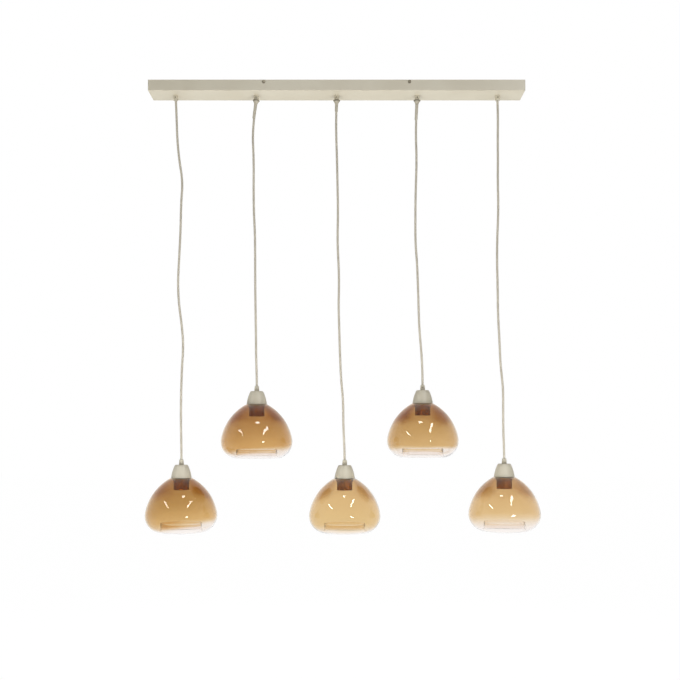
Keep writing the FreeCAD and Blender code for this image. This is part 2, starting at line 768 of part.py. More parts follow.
def grip_screw(number, pendant):
    """The grub screw that clamps the cord in its grip."""
    taper = (size("grip_foot_r") - size("grip_top_r")) / 2
    body, across, forward = grub_screw(size("grip_top_r") + taper - size("grub_sink"),
                                       pendant["screw_turn"])
    place(body, outlet_x(pendant) + pendant["aside"] + across, forward,
          size("grip_screw_height") + pendant["top"])
    return keep(body, f"grip_screw_{number}")


def lamp_cap(number, pendant):
    """The spun cap: a truncated cone with bellied sides and rounded shoulders, open below."""
    wall, high = size("cap_wall"), size("cap_height")
    foot, waist, top = size("cap_foot_r"), size("cap_waist_r"), size("cap_top_r")
    up = size("cap_waist_height")
    body = turned("cap", [
        (foot - wall, -high), (foot, -high, (waist, -high + up)), (top, Size(0)),
        (size("grip_stem_r") + size("stem_play"), Size(0)),
        (size("grip_stem_r") + size("stem_play"), -wall),
        (top - wall * 0.8, -wall, (waist - wall, -high + up - wall * 0.3)),
    ])
    top_r = mm(top)
    rounded(body, body.Group[-1], size("cap_shoulder"),
            lambda edge, middle: abs(middle.z) < 0.01 and abs(math.hypot(middle.x, middle.y) - top_r) < 0.1,
            "shoulder")
    head_place(body, pendant)
    return keep(body, f"lamp_cap_{number}")


def glass_shade(number, pendant):
    """The blown shade: two tangent arcs down to the widest place, one under it, a small one at the
    rim and a straight lip folded up inside. The inner wall has the same centres."""
    body = new_body("glass")
    wall, hole = size("glass_wall"), size("glass_hole_r")
    shoulder, crown, side = size("glass_shoulder_r"), size("glass_crown_r"), size("glass_side_r")
    widest, drop = size("glass_widest_r"), size("glass_widest_drop")
    turn_r, rim_r, mouth = size("glass_turn_r"), size("glass_rim_r"), size("glass_mouth_r")
    lip = size("glass_lip_drop")
    sketch = body.newObject("Sketcher::SketchObject", "wall_outline")
    sketch.AttachmentSupport = (origin_feature(body, "XZ_Plane"), [""])
    sketch.MapMode = "FlatFace"

    # plain numbers for the first drawing, which the constraints then take over
    side_c = Vector(mm(widest - side), -mm(drop), 0)
    turn_c = Vector(mm(widest - turn_r), -mm(drop), 0)
    across = mm(mouth + rim_r) - turn_c.x
    rim_c = Vector(mm(mouth + rim_r), turn_c.y - math.sqrt(mm(turn_r - rim_r) ** 2 - across ** 2), 0)
    crown_c = crown_centre(side_c, mm(side), mm(crown), mm(shoulder))
    walls = []
    for inset in (0, mm(wall)):
        top = -inset
        start_x = crown_c.x + math.sqrt((mm(crown) - inset) ** 2 - (top - crown_c.y) ** 2)
        start = Vector(start_x, top, 0)
        toward = side_c - crown_c
        toward.normalize()
        meet = side_c + toward * (mm(side) - inset)
        wide = side_c + Vector(mm(side) - inset, 0, 0)
        toward = rim_c - turn_c
        toward.normalize()
        under = turn_c + toward * (mm(turn_r) - inset)
        foot = rim_c + Vector(inset - mm(rim_r), 0, 0)
        walls.append((inset, [(crown_c, mm(crown), start, meet), (side_c, mm(side), meet, wide),
                              (turn_c, mm(turn_r), wide, under), (rim_c, mm(rim_r), under, foot)]))
    for inset, arcs in walls:
        for centre, radius, start, end in arcs:
            angles = [math.atan2(p.y - centre.y, p.x - centre.x) for p in (end, start)]
            if angles[1] < angles[0]:
                angles[1] += 2 * math.pi
            circle = Part.Circle(centre, Vector(0, 0, 1), radius - inset)
            sketch.addGeometry(Part.ArcOfCircle(circle, *angles), False)
    starts = [walls[0][1][0][2], walls[1][1][0][2]]
    feet = [walls[0][1][3][3], walls[1][1][3][3]]
    lip_y, lip_x = -mm(lip), mm(mouth)
    lines = [
        (Vector(mm(hole), 0, 0), starts[0]), (Vector(mm(hole), -mm(wall), 0), starts[1]),
        (Vector(mm(hole), 0, 0), Vector(mm(hole), -mm(wall), 0)),
        (feet[0], Vector(lip_x, lip_y, 0)), (feet[1], Vector(lip_x + mm(wall), lip_y, 0)),
        (Vector(lip_x, lip_y, 0), Vector(lip_x + mm(wall), lip_y, 0)),
    ]
    for one, two in lines:
        sketch.addGeometry(Part.LineSegment(one, two), False)
    top_out, top_in, hole_edge, lip_out, lip_in, lip_end = range(8, 14)

    def tie(kind, *args):
        sketch.addConstraint(Sketcher.Constraint(kind, *args))

    for first in (0, 4):
        for number_of in range(first, first + 3):
            tie("Tangent", number_of, 1, number_of + 1, 2)
    for outer in range(4):
        tie("Coincident", outer, 3, outer + 4, 3)
        bind(sketch, "Radius", (crown, side, turn_r, rim_r)[outer], outer)
    bind(sketch, "Radius", crown - wall, 4)
    tie("Coincident", top_out, 2, 0, 2)
    tie("Coincident", top_in, 2, 4, 2)
    tie("Coincident", top_out, 1, hole_edge, 1)
    tie("Coincident", top_in, 1, hole_edge, 2)
    tie("Tangent", lip_out, 1, 3, 1)
    tie("Tangent", lip_in, 1, 7, 1)
    tie("Coincident", lip_out, 2, lip_end, 1)
    tie("Coincident", lip_in, 2, lip_end, 2)
    tie("Horizontal", top_in)
    tie("Horizontal", lip_end)
    tie("Vertical", lip_out)
    tie("Vertical", lip_in)
    pin_point(sketch, top_out, 1, hole, Size(0))
    pin_point(sketch, hole_edge, 2, hole, -wall)
    pin_point(sketch, 0, 2, shoulder, Size(0))
    bind(sketch, "DistanceX", widest - side, -1, 1, 1, 3)
    bind(sketch, "DistanceY", -drop, -1, 1, 1, 3)
    bind(sketch, "DistanceY", -drop, -1, 1, 2, 3)
    bind(sketch, "DistanceX", mouth, -1, 1, lip_out, 2)
    bind(sketch, "DistanceY", -lip, -1, 1, lip_out, 2)
    turn = body.newObject("PartDesign::Revolution", "turn")
    turn.Profile = sketch
    turn.ReferenceAxis = (sketch, ["V_Axis"])
    turn.Angle = 360
    head_place(body, pendant, -size("cap_height"))
    return keep(body, f"glass_shade_{number}")


def crown_centre(side_centre, side_r, crown_r, shoulder_r):
    """Centre of the arc that touches the side arc from outside and starts at the shoulder."""
    away = crown_r - side_r
    point = Vector(shoulder_r, 0, 0)
    between = side_centre - point
    gap = between.Length
    along = (crown_r ** 2 - away ** 2 + gap ** 2) / (2 * gap)
    off = math.sqrt(crown_r ** 2 - along ** 2)
    between.normalize()
    return point + between * along + Vector(between.y, -between.x, 0) * off


def shade_ring(number, pendant):
    """The ring that screws up the lampholder and clamps the glass, with a flange above its grip."""
    bore, outer, high = size("holder_r") + size("ring_play"), size("ring_r"), size("ring_height")
    inset, edge, grip = outer - size("ring_grip_inset"), size("ring_edge"), size("ring_grip_height")
    body = turned("ring", [
        (bore, -high), (inset - edge, -high), (inset, edge - high), (inset, grip - high),
        (outer, grip + edge - high), (outer, Size(0)), (bore, Size(0)),
    ])
    head_place(body, pendant, -size("cap_height") - size("glass_wall"))
    return keep(body, f"shade_ring_{number}")


def lampholder(number, pendant):
    """The lampholder's shell: a dome on the grip's stem, a flange on the glass and a skirt."""
    wall, outer, low = size("holder_wall"), size("holder_r"), size("holder_drop")
    flange_r, flange = size("holder_flange_r"), size("holder_flange")
    dome_r, dome, shoulder = size("holder_dome_r"), size("holder_dome_height"), size("holder_shoulder_height")
    stem, under = size("grip_stem_r") + size("thread_fit"), dome - size("holder_neck")
    upper, edge = outer - size("holder_step"), size("holder_edge")
    body = turned("holder", [
        (outer - wall, -low), (outer - edge, -low), (outer, edge - low), (outer, Size(0)),
        (flange_r, Size(0)), (flange_r, flange), (upper, flange), (upper, shoulder),
        (dome_r, dome), (stem, dome), (stem, under), (dome_r - wall, under),
        (outer - wall, shoulder - wall * 2),
    ])
    head_place(body, pendant, -size("cap_height"))
    return keep(body, f"lampholder_{number}")


def core_low():
    """Height of the lampholder core's underside from the glass top."""
    return size("holder_shoulder_height") - size("core_seat") - size("core_height")


def holder_insulator(number, pendant):
    """The insulating core: a disc across the shell, with a raised edge and wire holes."""
    outer, step = size("holder_r") - size("holder_wall") - size("core_play"), size("core_step")
    low, high, recess = core_low(), core_low() + size("core_height"), size("core_recess_r")
    body = turned("core", [
        (Size(0), low), (outer, low), (outer, high - step), (outer - step, high), (recess, high),
        (recess, high - step), (Size(0), high - step),
    ])
    reach = size("core_hole_spacing") / 2
    wires = holes_sketch(body, "XY_Plane", [(-reach, Size(0)), (reach, Size(0))],
                         size("core_hole_r"), "wire_spots")
    pocket(body, wires, (high + size("core_height")) * 2, "wire_holes", both=True)
    head_place(body, pendant, -size("cap_height"))
    return keep(body, f"holder_insulator_{number}")


def holder_contacts(number, pendant):
    """The metal shell that the bulb screws into, with a wide collar round the centre contact."""
    bore, wall, deep = size("shell_bore_r"), size("shell_wall"), size("shell_length")
    contact_r, long, edge = size("contact_r"), size("contact_length"), size("contact_edge")
    collar, step = size("shell_collar_r"), long + size("contact_gap")
    shell = turned("thread_shell", [
        (bore, -deep), (bore + wall, -deep), (bore + wall, -step - wall), (collar + wall, -step - wall),
        (collar + wall, Size(0)), (collar, Size(0)), (collar, -step), (bore, -step),
    ])
    contact = turned("centre_contact", [
        (Size(0), -long), (contact_r - edge, -long), (contact_r, edge - long), (contact_r, Size(0)),
        (Size(0), Size(0)),
    ])
    for piece in (shell, contact):
        head_place(piece, pendant, core_low() - size("cap_height"))
    return keep(group("contact_set", [shell, contact]), f"holder_contacts_{number}")


def build():
    """Make every sub-part."""
    canopy_cover()
    ceiling_bracket()
    side_screws()
    terminal_block()
    terminal_screws()
    earth_screw()
    gland_bodies()
    gland_nuts()
    gland_grub_screws()
    lead_tails()
    for number, pendant in enumerate(PENDANTS, start=1):
        cord_bush(number, pendant)
        cord(number, pendant)
        if pendant["sleeve"]:
            cord_sleeve(number, pendant)
        cord_grip(number, pendant)
        grip_screw(number, pendant)
        lamp_cap(number, pendant)
        glass_shade(number, pendant)
        shade_ring(number, pendant)
        lampholder(number, pendant)
        holder_insulator(number, pendant)
        holder_contacts(number, pendant)
    doc.recompute()


def check_and_write():
    """Stop at a failed object or a bad shape, then write each sub-part to its own file."""
    failed = [f.Label for f in doc.Objects if {"Invalid", "Error"} & set(f.State)]
    if failed:
        raise RuntimeError(f"objects failed: {failed}")
    for node, feature in nodes.items():
        if feature.Shape.isNull() or not feature.Shape.isValid():
            raise RuntimeError(f"{node} has no valid shape")
    os.makedirs("parts", exist_ok=True)
    for node, feature in nodes.items():
        feature.Shape.exportStep(f"parts/{node}.step")
    print(f"{len(nodes)} sub-parts written")


build()
check_and_write()
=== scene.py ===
"""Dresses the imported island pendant: finishes for its metal, plastic and glass, and its cords.

Metres, +Z up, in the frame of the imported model. The front of the canopy faces -Y.
"""

from __future__ import annotations

import cmath
import json
import logging
import math
from dataclasses import dataclass
from enum import Enum

import bpy
from mathutils import Matrix, Vector

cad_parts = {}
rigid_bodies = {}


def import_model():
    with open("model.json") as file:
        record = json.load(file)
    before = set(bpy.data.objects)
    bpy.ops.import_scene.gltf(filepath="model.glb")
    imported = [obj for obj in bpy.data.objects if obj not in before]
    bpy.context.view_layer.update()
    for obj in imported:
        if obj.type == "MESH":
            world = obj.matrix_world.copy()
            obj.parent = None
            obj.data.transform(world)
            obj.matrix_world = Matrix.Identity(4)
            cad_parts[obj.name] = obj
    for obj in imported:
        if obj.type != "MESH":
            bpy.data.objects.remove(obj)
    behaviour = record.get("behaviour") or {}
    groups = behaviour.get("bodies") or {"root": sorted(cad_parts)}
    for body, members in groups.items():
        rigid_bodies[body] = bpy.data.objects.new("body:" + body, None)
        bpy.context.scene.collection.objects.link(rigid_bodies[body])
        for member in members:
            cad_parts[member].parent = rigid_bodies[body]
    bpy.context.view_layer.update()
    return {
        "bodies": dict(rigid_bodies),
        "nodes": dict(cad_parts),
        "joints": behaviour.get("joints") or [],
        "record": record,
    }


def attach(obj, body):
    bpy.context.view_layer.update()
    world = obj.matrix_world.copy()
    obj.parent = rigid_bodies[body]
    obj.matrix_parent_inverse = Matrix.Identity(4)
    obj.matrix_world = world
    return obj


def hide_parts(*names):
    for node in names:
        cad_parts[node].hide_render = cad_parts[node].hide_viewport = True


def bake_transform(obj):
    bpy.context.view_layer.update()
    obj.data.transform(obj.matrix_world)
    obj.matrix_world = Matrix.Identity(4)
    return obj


log = logging.getLogger("island_pendant")

# Depth of the fine grain on metal and plastic, and the distance under which points are one.
GRAIN_DEPTH = 0.00004
WELD = 1e-6

Point = tuple[float, float, float]
Outline = list[tuple[float, float]]
Colour = tuple[float, float, float]


def paint(red: int, green: int, blue: int) -> Colour:
    """Turn a colour as a screen shows it, 0 to 255, into the linear one that shaders use.

    Args:
        red: Red, 0 to 255.
        green: Green, 0 to 255.
        blue: Blue, 0 to 255.

    Returns:
        The linear colour.
    """
    def linear(level: int) -> float:
        share = level / 255
        return share / 12.92 if share <= 0.04045 else ((share + 0.055) / 1.055) ** 2.4

    return (linear(red), linear(green), linear(blue))


class Role(Enum):
    """What a lamp does."""

    LIGHTS = "lights the object"
    GLEAMS = "shows in gloss alone"


# Shading


class Value:
    """A value that changes over a surface. Python's arithmetic on it adds the Math nodes."""

    def __init__(self, shader: "Shader", socket: bpy.types.NodeSocket) -> None:
        """Wrap a socket.

        Args:
            shader: The shader that the socket belongs to.
            socket: An output socket.
        """
        self.shader = shader
        self.socket = socket

    def _math(self, operation: str, *terms: "Value | float") -> "Value":
        """Add a Math node on the terms."""
        return self.shader.node("ShaderNodeMath", {"operation": operation}, dict(enumerate(terms)))

    def __add__(self, other: "Value | float") -> "Value":
        """Add."""
        return self._math("ADD", self, other)

    __radd__ = __add__

    def __sub__(self, other: "Value | float") -> "Value":
        """Subtract."""
        return self._math("SUBTRACT", self, other)

    def __rsub__(self, other: "Value | float") -> "Value":
        """Subtract from a number."""
        return self._math("SUBTRACT", other, self)

    def __mul__(self, other: "Value | float") -> "Value":
        """Multiply."""
        return self._math("MULTIPLY", self, other)

    __rmul__ = __mul__

    def __pow__(self, power: float) -> "Value":
        """Raise to a power."""
        return self._math("POWER", self, power)

    def __abs__(self) -> "Value":
        """Drop the sign."""
        return self._math("ABSOLUTE", self)

    def sin(self) -> "Value":
        """Take the sine."""
        return self._math("SINE", self)

    def above(self, limit: float) -> "Value":
        """Give 1 where the value is above a limit, else 0."""
        return self._math("GREATER_THAN", self, limit)

    def ramp(self, low: float, high: float) -> "Value":
        """Rise smoothly from 0 to 1.

        Args:
            low: Where the rise starts.
            high: Where it ends.

        Returns:
            The smooth step.
        """
        settings = {"interpolation_type": "SMOOTHSTEP", "clamp": True}
        return self.shader.node("ShaderNodeMapRange", settings,
                                {"Value": self, "From Min": low, "From Max": high})

    def part(self, name: str) -> "Value":
        """Take another output of the same node by its name."""
        return Value(self.shader, self.socket.node.outputs[name])


class Shader:
    """The node tree of a material or of the world, filled by code."""

    def __init__(self, owner: bpy.types.Material | bpy.types.World) -> None:
        """Take over an owner's tree and empty it.

        Args:
            owner: The material or the world.
        """
        self.owner = owner
        owner.use_nodes = True
        self.tree = owner.node_tree
        self.tree.nodes.clear()

    def node(self, kind: str, settings: dict | None = None, inputs: dict | None = None) -> Value:
        """Add a node.

        Args:
            kind: The node's type.
            settings: Its properties, set before its sockets.
            inputs: What goes into its sockets, by name or number: numbers, colours or other values.

        Returns:
            The node's first output that is in use.
        """
        made = self.tree.nodes.new(kind)
        for name, setting in (settings or {}).items():
            setattr(made, name, setting)
        open_sockets = [s for s in made.inputs if s.enabled]
        for key, given in (inputs or {}).items():
            socket = open_sockets[key] if isinstance(key, int) else next(
                s for s in open_sockets if s.name == key)
            if isinstance(given, Value):
                self.tree.links.new(given.socket, socket)
            elif socket.type == "RGBA":
                socket.default_value = (*given, 1.0)
            else:
                socket.default_value = given
        first = next((s for s in made.outputs if s.enabled), None)
        return Value(self, first)

    def here(self) -> Value:
        """Give the point's place in the model's frame."""
        return self.node("ShaderNodeTexCoord").part("Object")

    def unrolled(self) -> Value:
        """Give the point's place on the piece's own map, split into X and Y."""
        flat = self.node("ShaderNodeTexCoord").part("UV")
        return self.node("ShaderNodeSeparateXYZ", None, {"Vector": flat})

    def noise(self, scale: float, detail: float = 2.0, spread: float = 0.5,
              at: Value | None = None) -> Value:
        """Add a noise in the model's frame.

        Args:
            scale: Cells per metre.
            detail: Octaves.
            spread: Roughness of the octaves.
            at: Where it is read. The place in the model's frame if left out.

        Returns:
            The noise, 0 to 1.
        """
        return self.node("ShaderNodeTexNoise", None, {
            "Vector": at or self.here(), "Scale": scale, "Detail": detail, "Roughness": spread})

    def mix(self, share: Value | float, one: Value | Colour, other: Value | Colour) -> Value:
        """Mix two colours.

        Args:
            share: The share of the other colour.
            one: The first colour.
            other: The other colour.

        Returns:
            The mixed colour.
        """
        return self.node("ShaderNodeMix", {"data_type": "RGBA"},
                         {"Factor": share, "A": one, "B": other})

    def bump(self, height: Value, depth: float) -> Value:
        """Turn a height into a normal.

        Args:
            height: The height, 0 to 1.
            depth: What a height of 1 stands for, in metres.

        Returns:
            The normal.
        """
        return self.node("ShaderNodeBump", None,
                         {"Height": height, "Distance": depth, "Strength": 1.0})

    def close(self, surface: Value) -> bpy.types.Material:
        """Give the material its surface."""
        self.node("ShaderNodeOutputMaterial", None, {"Surface": surface})
        return self.owner

    def finish(self, inputs: dict) -> bpy.types.Material:
        """Close the material with a Principled shader.

        Args:
            inputs: The shader's sockets by name.

        Returns:
            The material.
        """
        surface = self.node("ShaderNodeBsdfPrincipled", None, inputs)
        return self.close(surface)


@dataclass(frozen=True)
class PowderCoat:
    """Satin powder coat on sheet metal, with its faint orange peel."""

    name: str = "cream_powder_coat"
    colour: Colour = paint(211, 204, 184)
    shade: Colour = paint(205, 197, 176)
    roughness: float = 0.44
    specular: float = 0.28
    peel_scale: float = 620.0
    peel_depth: float = 0.00006

    def make(self) -> bpy.types.Material:
        """Make the material."""
        shader = Shader(bpy.data.materials.new(self.name))
        peel = shader.noise(self.peel_scale, 1.5)
        cloud = shader.noise(9.0, 3.0)
        return shader.finish({
            "Base Color": shader.mix(cloud.ramp(0.35, 0.7), self.colour, self.shade),
            "Roughness": self.roughness + (peel - 0.5) * 0.12,
            "Normal": shader.bump(peel, self.peel_depth),
            "Specular IOR Level": self.specular,
        })


@dataclass(frozen=True)
class Plated:
    """A plated or bare metal with fine scratches along one axis."""

    name: str
    colour: Colour
    shade: Colour
    roughness: float = 0.34
    grain: Point = (18.0, 700.0, 700.0)

    def make(self) -> bpy.types.Material:
        """Make the material."""
        shader = Shader(bpy.data.materials.new(self.name))
        stretched = shader.node("ShaderNodeVectorMath", {"operation": "MULTIPLY"},
                                {0: shader.here(), 1: self.grain})
        lines = shader.noise(1.0, 3.0, 0.6, at=stretched)
        spots = shader.noise(55.0, 4.0, 0.6)
        return shader.finish({
            "Base Color": shader.mix(spots.ramp(0.4, 0.65), self.colour, self.shade),
            "Metallic": 1.0,
            "Roughness": self.roughness + (lines - 0.5) * 0.22,
            "Normal": shader.bump(lines, GRAIN_DEPTH),
        })


@dataclass(frozen=True)
class Moulded:
    """A moulded plastic or glazed ceramic with a faint flow texture."""

    name: str
    colour: Colour
    shade: Colour
    roughness: float = 0.38
    grain_depth: float = GRAIN_DEPTH

    def make(self) -> bpy.types.Material:
        """Make the material."""
        shader = Shader(bpy.data.materials.new(self.name))
        grain = shader.noise(900.0, 2.0)
        flow = shader.noise(70.0, 3.0)
        return shader.finish({
            "Base Color": shader.mix(flow.ramp(0.38, 0.66), self.colour, self.shade),
            "Roughness": self.roughness + (flow - 0.5) * 0.16,
            "Normal": shader.bump(grain, self.grain_depth),
        })


@dataclass(frozen=True)
class SleeveRubber:
    """Soft moulded sleeve, with painted shade round its flared mouth."""

    name: str = "sleeve_rubber"
    colour: Colour = paint(188, 181, 163)
    shade: Colour = paint(176, 168, 149)
    mouth: Colour = paint(92, 84, 66)
    mouth_low: float = -0.0482
    mouth_high: float = -0.0430

    def make(self) -> bpy.types.Material:
        """Make the material."""
        shader = Shader(bpy.data.materials.new(self.name))
        flow = shader.noise(120.0, 3.0)
        high = shader.node("ShaderNodeSeparateXYZ", None, {"Vector": shader.here()}).part("Z")
        # Painted shade: the sleeve darkens towards its flared mouth, where shade falls under the
        # rim.
        mouth_shade = (high + (flow - 0.5) * 0.0016).ramp(self.mouth_low, self.mouth_high)
        body = shader.mix(flow.ramp(0.38, 0.66), self.colour, self.shade)
        return shader.finish({
            "Base Color": shader.mix(mouth_shade, body, self.mouth),
            "Roughness": 0.55 + (flow - 0.5) * 0.16,
            "Normal": shader.bump(shader.noise(1400.0, 2.0), GRAIN_DEPTH),
        })


@dataclass(frozen=True)
class TextileBraid:
    """Braided textile: two sets of strands that cross over and under round the cord."""

    name: str = "textile_braid"
    light: Colour = paint(211, 204, 187)
    dark: Colour = paint(190, 182, 164)
    gap: Colour = paint(148, 139, 120)
    strands: int = 12
    girth: float = 0.0188
    depth: float = 0.00022

    def make(self) -> bpy.types.Material:
        """Make the material."""
        shader = Shader(bpy.data.materials.new(self.name))
        place = shader.unrolled()
        round_it = place.part("X") * (math.pi * self.strands)
        along = place.part("Y") * (math.pi * self.strands / self.girth)
        one = abs((round_it + along).sin())
        other = abs((round_it - along).sin())
        over = (round_it.sin() * along.sin()).above(0.0)
        height = one * over + other * (1 - over)
        fuzz = shader.noise(1900.0, 3.0, 0.7)
        wear = shader.noise(38.0, 2.0)
        yarn = shader.mix(wear.ramp(0.3, 0.7) * 0.5 + over * 0.35, self.light, self.dark)
        # Painted shade: the grooves between strands, where the braid's height is low, take the
        # darker gap colour.
        colour = shader.mix((height + fuzz * 0.3).ramp(0.15, 0.6), self.gap, yarn)
        return shader.finish({
            "Base Color": colour,
            "Roughness": 0.86 + (fuzz - 0.5) * 0.2,
            "Normal": shader.bump(height + fuzz * 0.45, self.depth),
            "Sheen Weight": 0.25,
            "Sheen Roughness": 0.5,
        })


@dataclass(frozen=True)
class AmberLustre:
    """Blown glass with an amber lustre that fades to clear at the rim. The map's U goes round the
    shade and V up it, 0 at the rim's lowest place and 1 at the top."""

    name: str
    low: Colour
    middle: Colour
    fade: float = 0.10
    tilt: float = 0.0
    fade_width: float = 0.10
    patches: float = 0.5
    clear: Colour = (0.97, 0.94, 0.92)
    deep: Colour = (0.43, 0.21, 0.045)
    gleam: Colour = (0.34, 0.32, 0.30)
    edge: Colour = (0.90, 0.84, 0.84)
    edge_share: float = 0.20
    bending: float = 1.48
    wave_scale: float = 11.0
    wave_depth: float = 0.0004

    def make(self) -> bpy.types.Material:
        """Make the material."""
        shader = Shader(bpy.data.materials.new(self.name))
        place = shader.unrolled()
        height = place.part("Y")
        aside = (place.part("X") * math.tau + math.pi / 2).sin()
        wander = shader.noise(9.0, 2.0)
        cloud = shader.noise(14.0, 3.0, 0.55)
        # The coat starts above the clear rim, along a wandering and tilted line.
        level = height - aside * self.tilt + (wander - 0.5) * 0.12
        coat = level.ramp(self.fade - self.fade_width / 2, self.fade + self.fade_width)
        body = shader.mix((level + (cloud - 0.5) * 0.25).ramp(0.12, 0.62), self.low, self.middle)
        # The tint deepens on the shoulder; towards the two sides, as the front sees them, it
        # darkens further as painted shade and painted reflection of dark surroundings.
        sides = abs(aside).ramp(0.35, 0.9)
        shoulder = (height + (cloud - 0.5) * 0.3).ramp(0.52, 0.80)
        deep_coat_and_side_shade = shoulder * (0.35 + sides * 0.65) + sides * 0.14 + (cloud - 0.5) * 0.3
        tint = shader.mix(deep_coat_and_side_shade.ramp(0.0, 1.0) * self.patches, body, self.deep)
        glass = shader.node("ShaderNodeBsdfPrincipled", None, {
            "Base Color": shader.mix(coat, self.clear, tint),
            "Transmission Weight": 1.0,
            "Roughness": 0.0,
            "IOR": self.bending,
            "Specular Tint": self.gleam,
            "Normal": shader.bump(shader.noise(self.wave_scale, 1.0), self.wave_depth),
        })
        # The grazing edges show a pale sheen.
        sheen = shader.node("ShaderNodeBsdfAnisotropic", None,
                            {"Color": self.edge, "Roughness": 0.03})
        facing = shader.node("ShaderNodeLayerWeight", None, {"Blend": 0.5}).part("Facing")
        return shader.close(shader.node("ShaderNodeMixShader", None, {
            0: facing ** 3.0 * self.edge_share, 1: glass, 2: sheen}))


@dataclass(frozen=True)
class Finishes:
    """Every finish of the object, by the part that it is on."""

    cream: bpy.types.Material
    zinc: bpy.types.Material
    screw: bpy.types.Material
    dark_screw: bpy.types.Material
    brass: bpy.types.Material
    contact: bpy.types.Material
    connector: bpy.types.Material
    nylon: bpy.types.Material
    sleeve: bpy.types.Material
    tail: bpy.types.Material
    ceramic: bpy.types.Material
    ring: bpy.types.Material
    holder: bpy.types.Material
    braid: bpy.types.Material
    glass: tuple[bpy.types.Material, ...]

    @classmethod
    def make(cls) -> "Finishes":
        """Make all the materials."""
        return cls(
            cream=PowderCoat().make(),
            zinc=Plated("zinc_plate", paint(196, 196, 192), paint(168, 170, 170)).make(),
            screw=Plated("screw_steel", paint(120, 114, 100), paint(92, 86, 74), 0.34).make(),
            dark_screw=Plated("blackened_steel", paint(66, 58, 48), paint(46, 40, 34), 0.4).make(),
            brass=Plated("terminal_brass", paint(214, 178, 104), paint(182, 144, 78), 0.28).make(),
            contact=Plated("contact_brass", paint(202, 180, 132), paint(168, 146, 100), 0.3).make(),
            connector=Moulded("connector_nylon", paint(236, 236, 230), paint(226, 226, 218)).make(),
            nylon=Moulded("bush_nylon", paint(228, 224, 208), paint(214, 210, 194)).make(),
            sleeve=SleeveRubber().make(),
            tail=Moulded("tail_textile", paint(214, 203, 184), paint(192, 180, 160), 0.86,
                         0.0003).make(),
            ceramic=Moulded("glazed_ceramic", paint(232, 228, 216), paint(220, 214, 200),
                            0.2).make(),
            ring=Moulded("brown_ring", paint(148, 94, 30), paint(126, 78, 24), 0.5).make(),
            holder=Moulded("brown_holder", paint(148, 94, 24), paint(126, 78, 18), 0.5).make(),
            braid=TextileBraid().make(),
            glass=(
                AmberLustre("amber_lustre_1", (0.84, 0.67, 0.42), (0.68, 0.50, 0.27), 0.10, 0.09,
                            patches=0.8).make(),
                AmberLustre("amber_lustre_2", (0.80, 0.61, 0.36), (0.66, 0.47, 0.255), 0.11, 0.05,
                            patches=1.0).make(),
                AmberLustre("amber_lustre_3", (0.87, 0.73, 0.50), (0.84, 0.685, 0.455), 0.04,
                            patches=0.45).make(),
                AmberLustre("amber_lustre_4", (0.82, 0.66, 0.43), (0.72, 0.55, 0.325), 0.15, 0.0,
                            0.06, patches=1.0).make(),
                AmberLustre("amber_lustre_5", (0.875, 0.73, 0.51), (0.825, 0.665, 0.44), 0.15, 0.02,
                            0.16, patches=0.6).make(),
            ),
        )


# Modelling


def clear_selection() -> None:
    """Leave edit mode and deselect everything."""
    if bpy.context.object is not None and bpy.context.object.mode != "OBJECT":
        bpy.ops.object.mode_set(mode="OBJECT")
    bpy.ops.object.select_all(action="DESELECT")


def settle(name: str, sharp: float = 35.0) -> bpy.types.Object:
    """Finish the active piece: its place goes into its mesh, and it is shaded smooth.

    Args:
        name: The piece's name.
        sharp: Edges sharper than this, in degrees, stay sharp.

    Returns:
        The piece.
    """
    bpy.ops.object.mode_set(mode="OBJECT")
    piece = bpy.context.object
    piece.name = piece.data.name = name
    bpy.ops.object.transform_apply(location=True, rotation=True, scale=True)
    bpy.ops.object.shade_smooth_by_angle(angle=math.radians(sharp))
    return piece


def spun(name: str, outline: Outline, steps: int = 64, sharp: float = 35.0) -> bpy.types.Object:
    """Turn a piece as on a lathe: a vertex is drawn out along an outline, and the outline is spun.

    Args:
        name: The piece's name.
        outline: Points (radius, height) in metres, in order. The last one joins the first.
        steps: Faces round the piece.
        sharp: Edges sharper than this, in degrees, stay sharp.

    Returns:
        The piece, with its axis on the frame's Z axis.
    """
    clear_selection()
    first = outline[0]
    bpy.ops.mesh.primitive_plane_add(size=0.001, calc_uvs=False, location=(first[0], 0.0, first[1]))
    bpy.ops.object.mode_set(mode="EDIT")
    bpy.ops.mesh.merge(type="CENTER")
    at = first
    for after in (*outline[1:], first):
        bpy.ops.mesh.extrude_region_move(
            TRANSFORM_OT_translate={"value": (after[0] - at[0], 0.0, after[1] - at[1])})
        at = after
    bpy.ops.mesh.select_all(action="SELECT")
    bpy.ops.mesh.remove_doubles(threshold=WELD)
    bpy.ops.mesh.spin(steps=steps, angle=math.tau, center=(0, 0, 0), axis=(0, 0, 1))
    bpy.ops.mesh.select_all(action="SELECT")
    bpy.ops.mesh.remove_doubles(threshold=2 * WELD)
    bpy.ops.mesh.dissolve_degenerate(threshold=WELD / 10)
    bpy.ops.mesh.select_all(action="SELECT")
    bpy.ops.mesh.normals_make_consistent(inside=False)
    return settle(name, sharp)


def arc(centre: tuple[float, float], radius: float, start: float, end: float,
        steps: int) -> Outline:
    """Points of an arc in the outline's plane.

    Args:
        centre: Its centre (radius, height).
        radius: Its radius.
        start: Where it starts, in degrees from the outward direction.
        end: Where it ends, in degrees.
        steps: How many runs it has.

    Returns:
        The points, both ends among them.
    """
    turns = (math.radians(start + (end - start) * step / steps) for step in range(steps + 1))
    return [(centre[0] + radius * math.cos(turn), centre[1] + radius * math.sin(turn))
            for turn in turns]


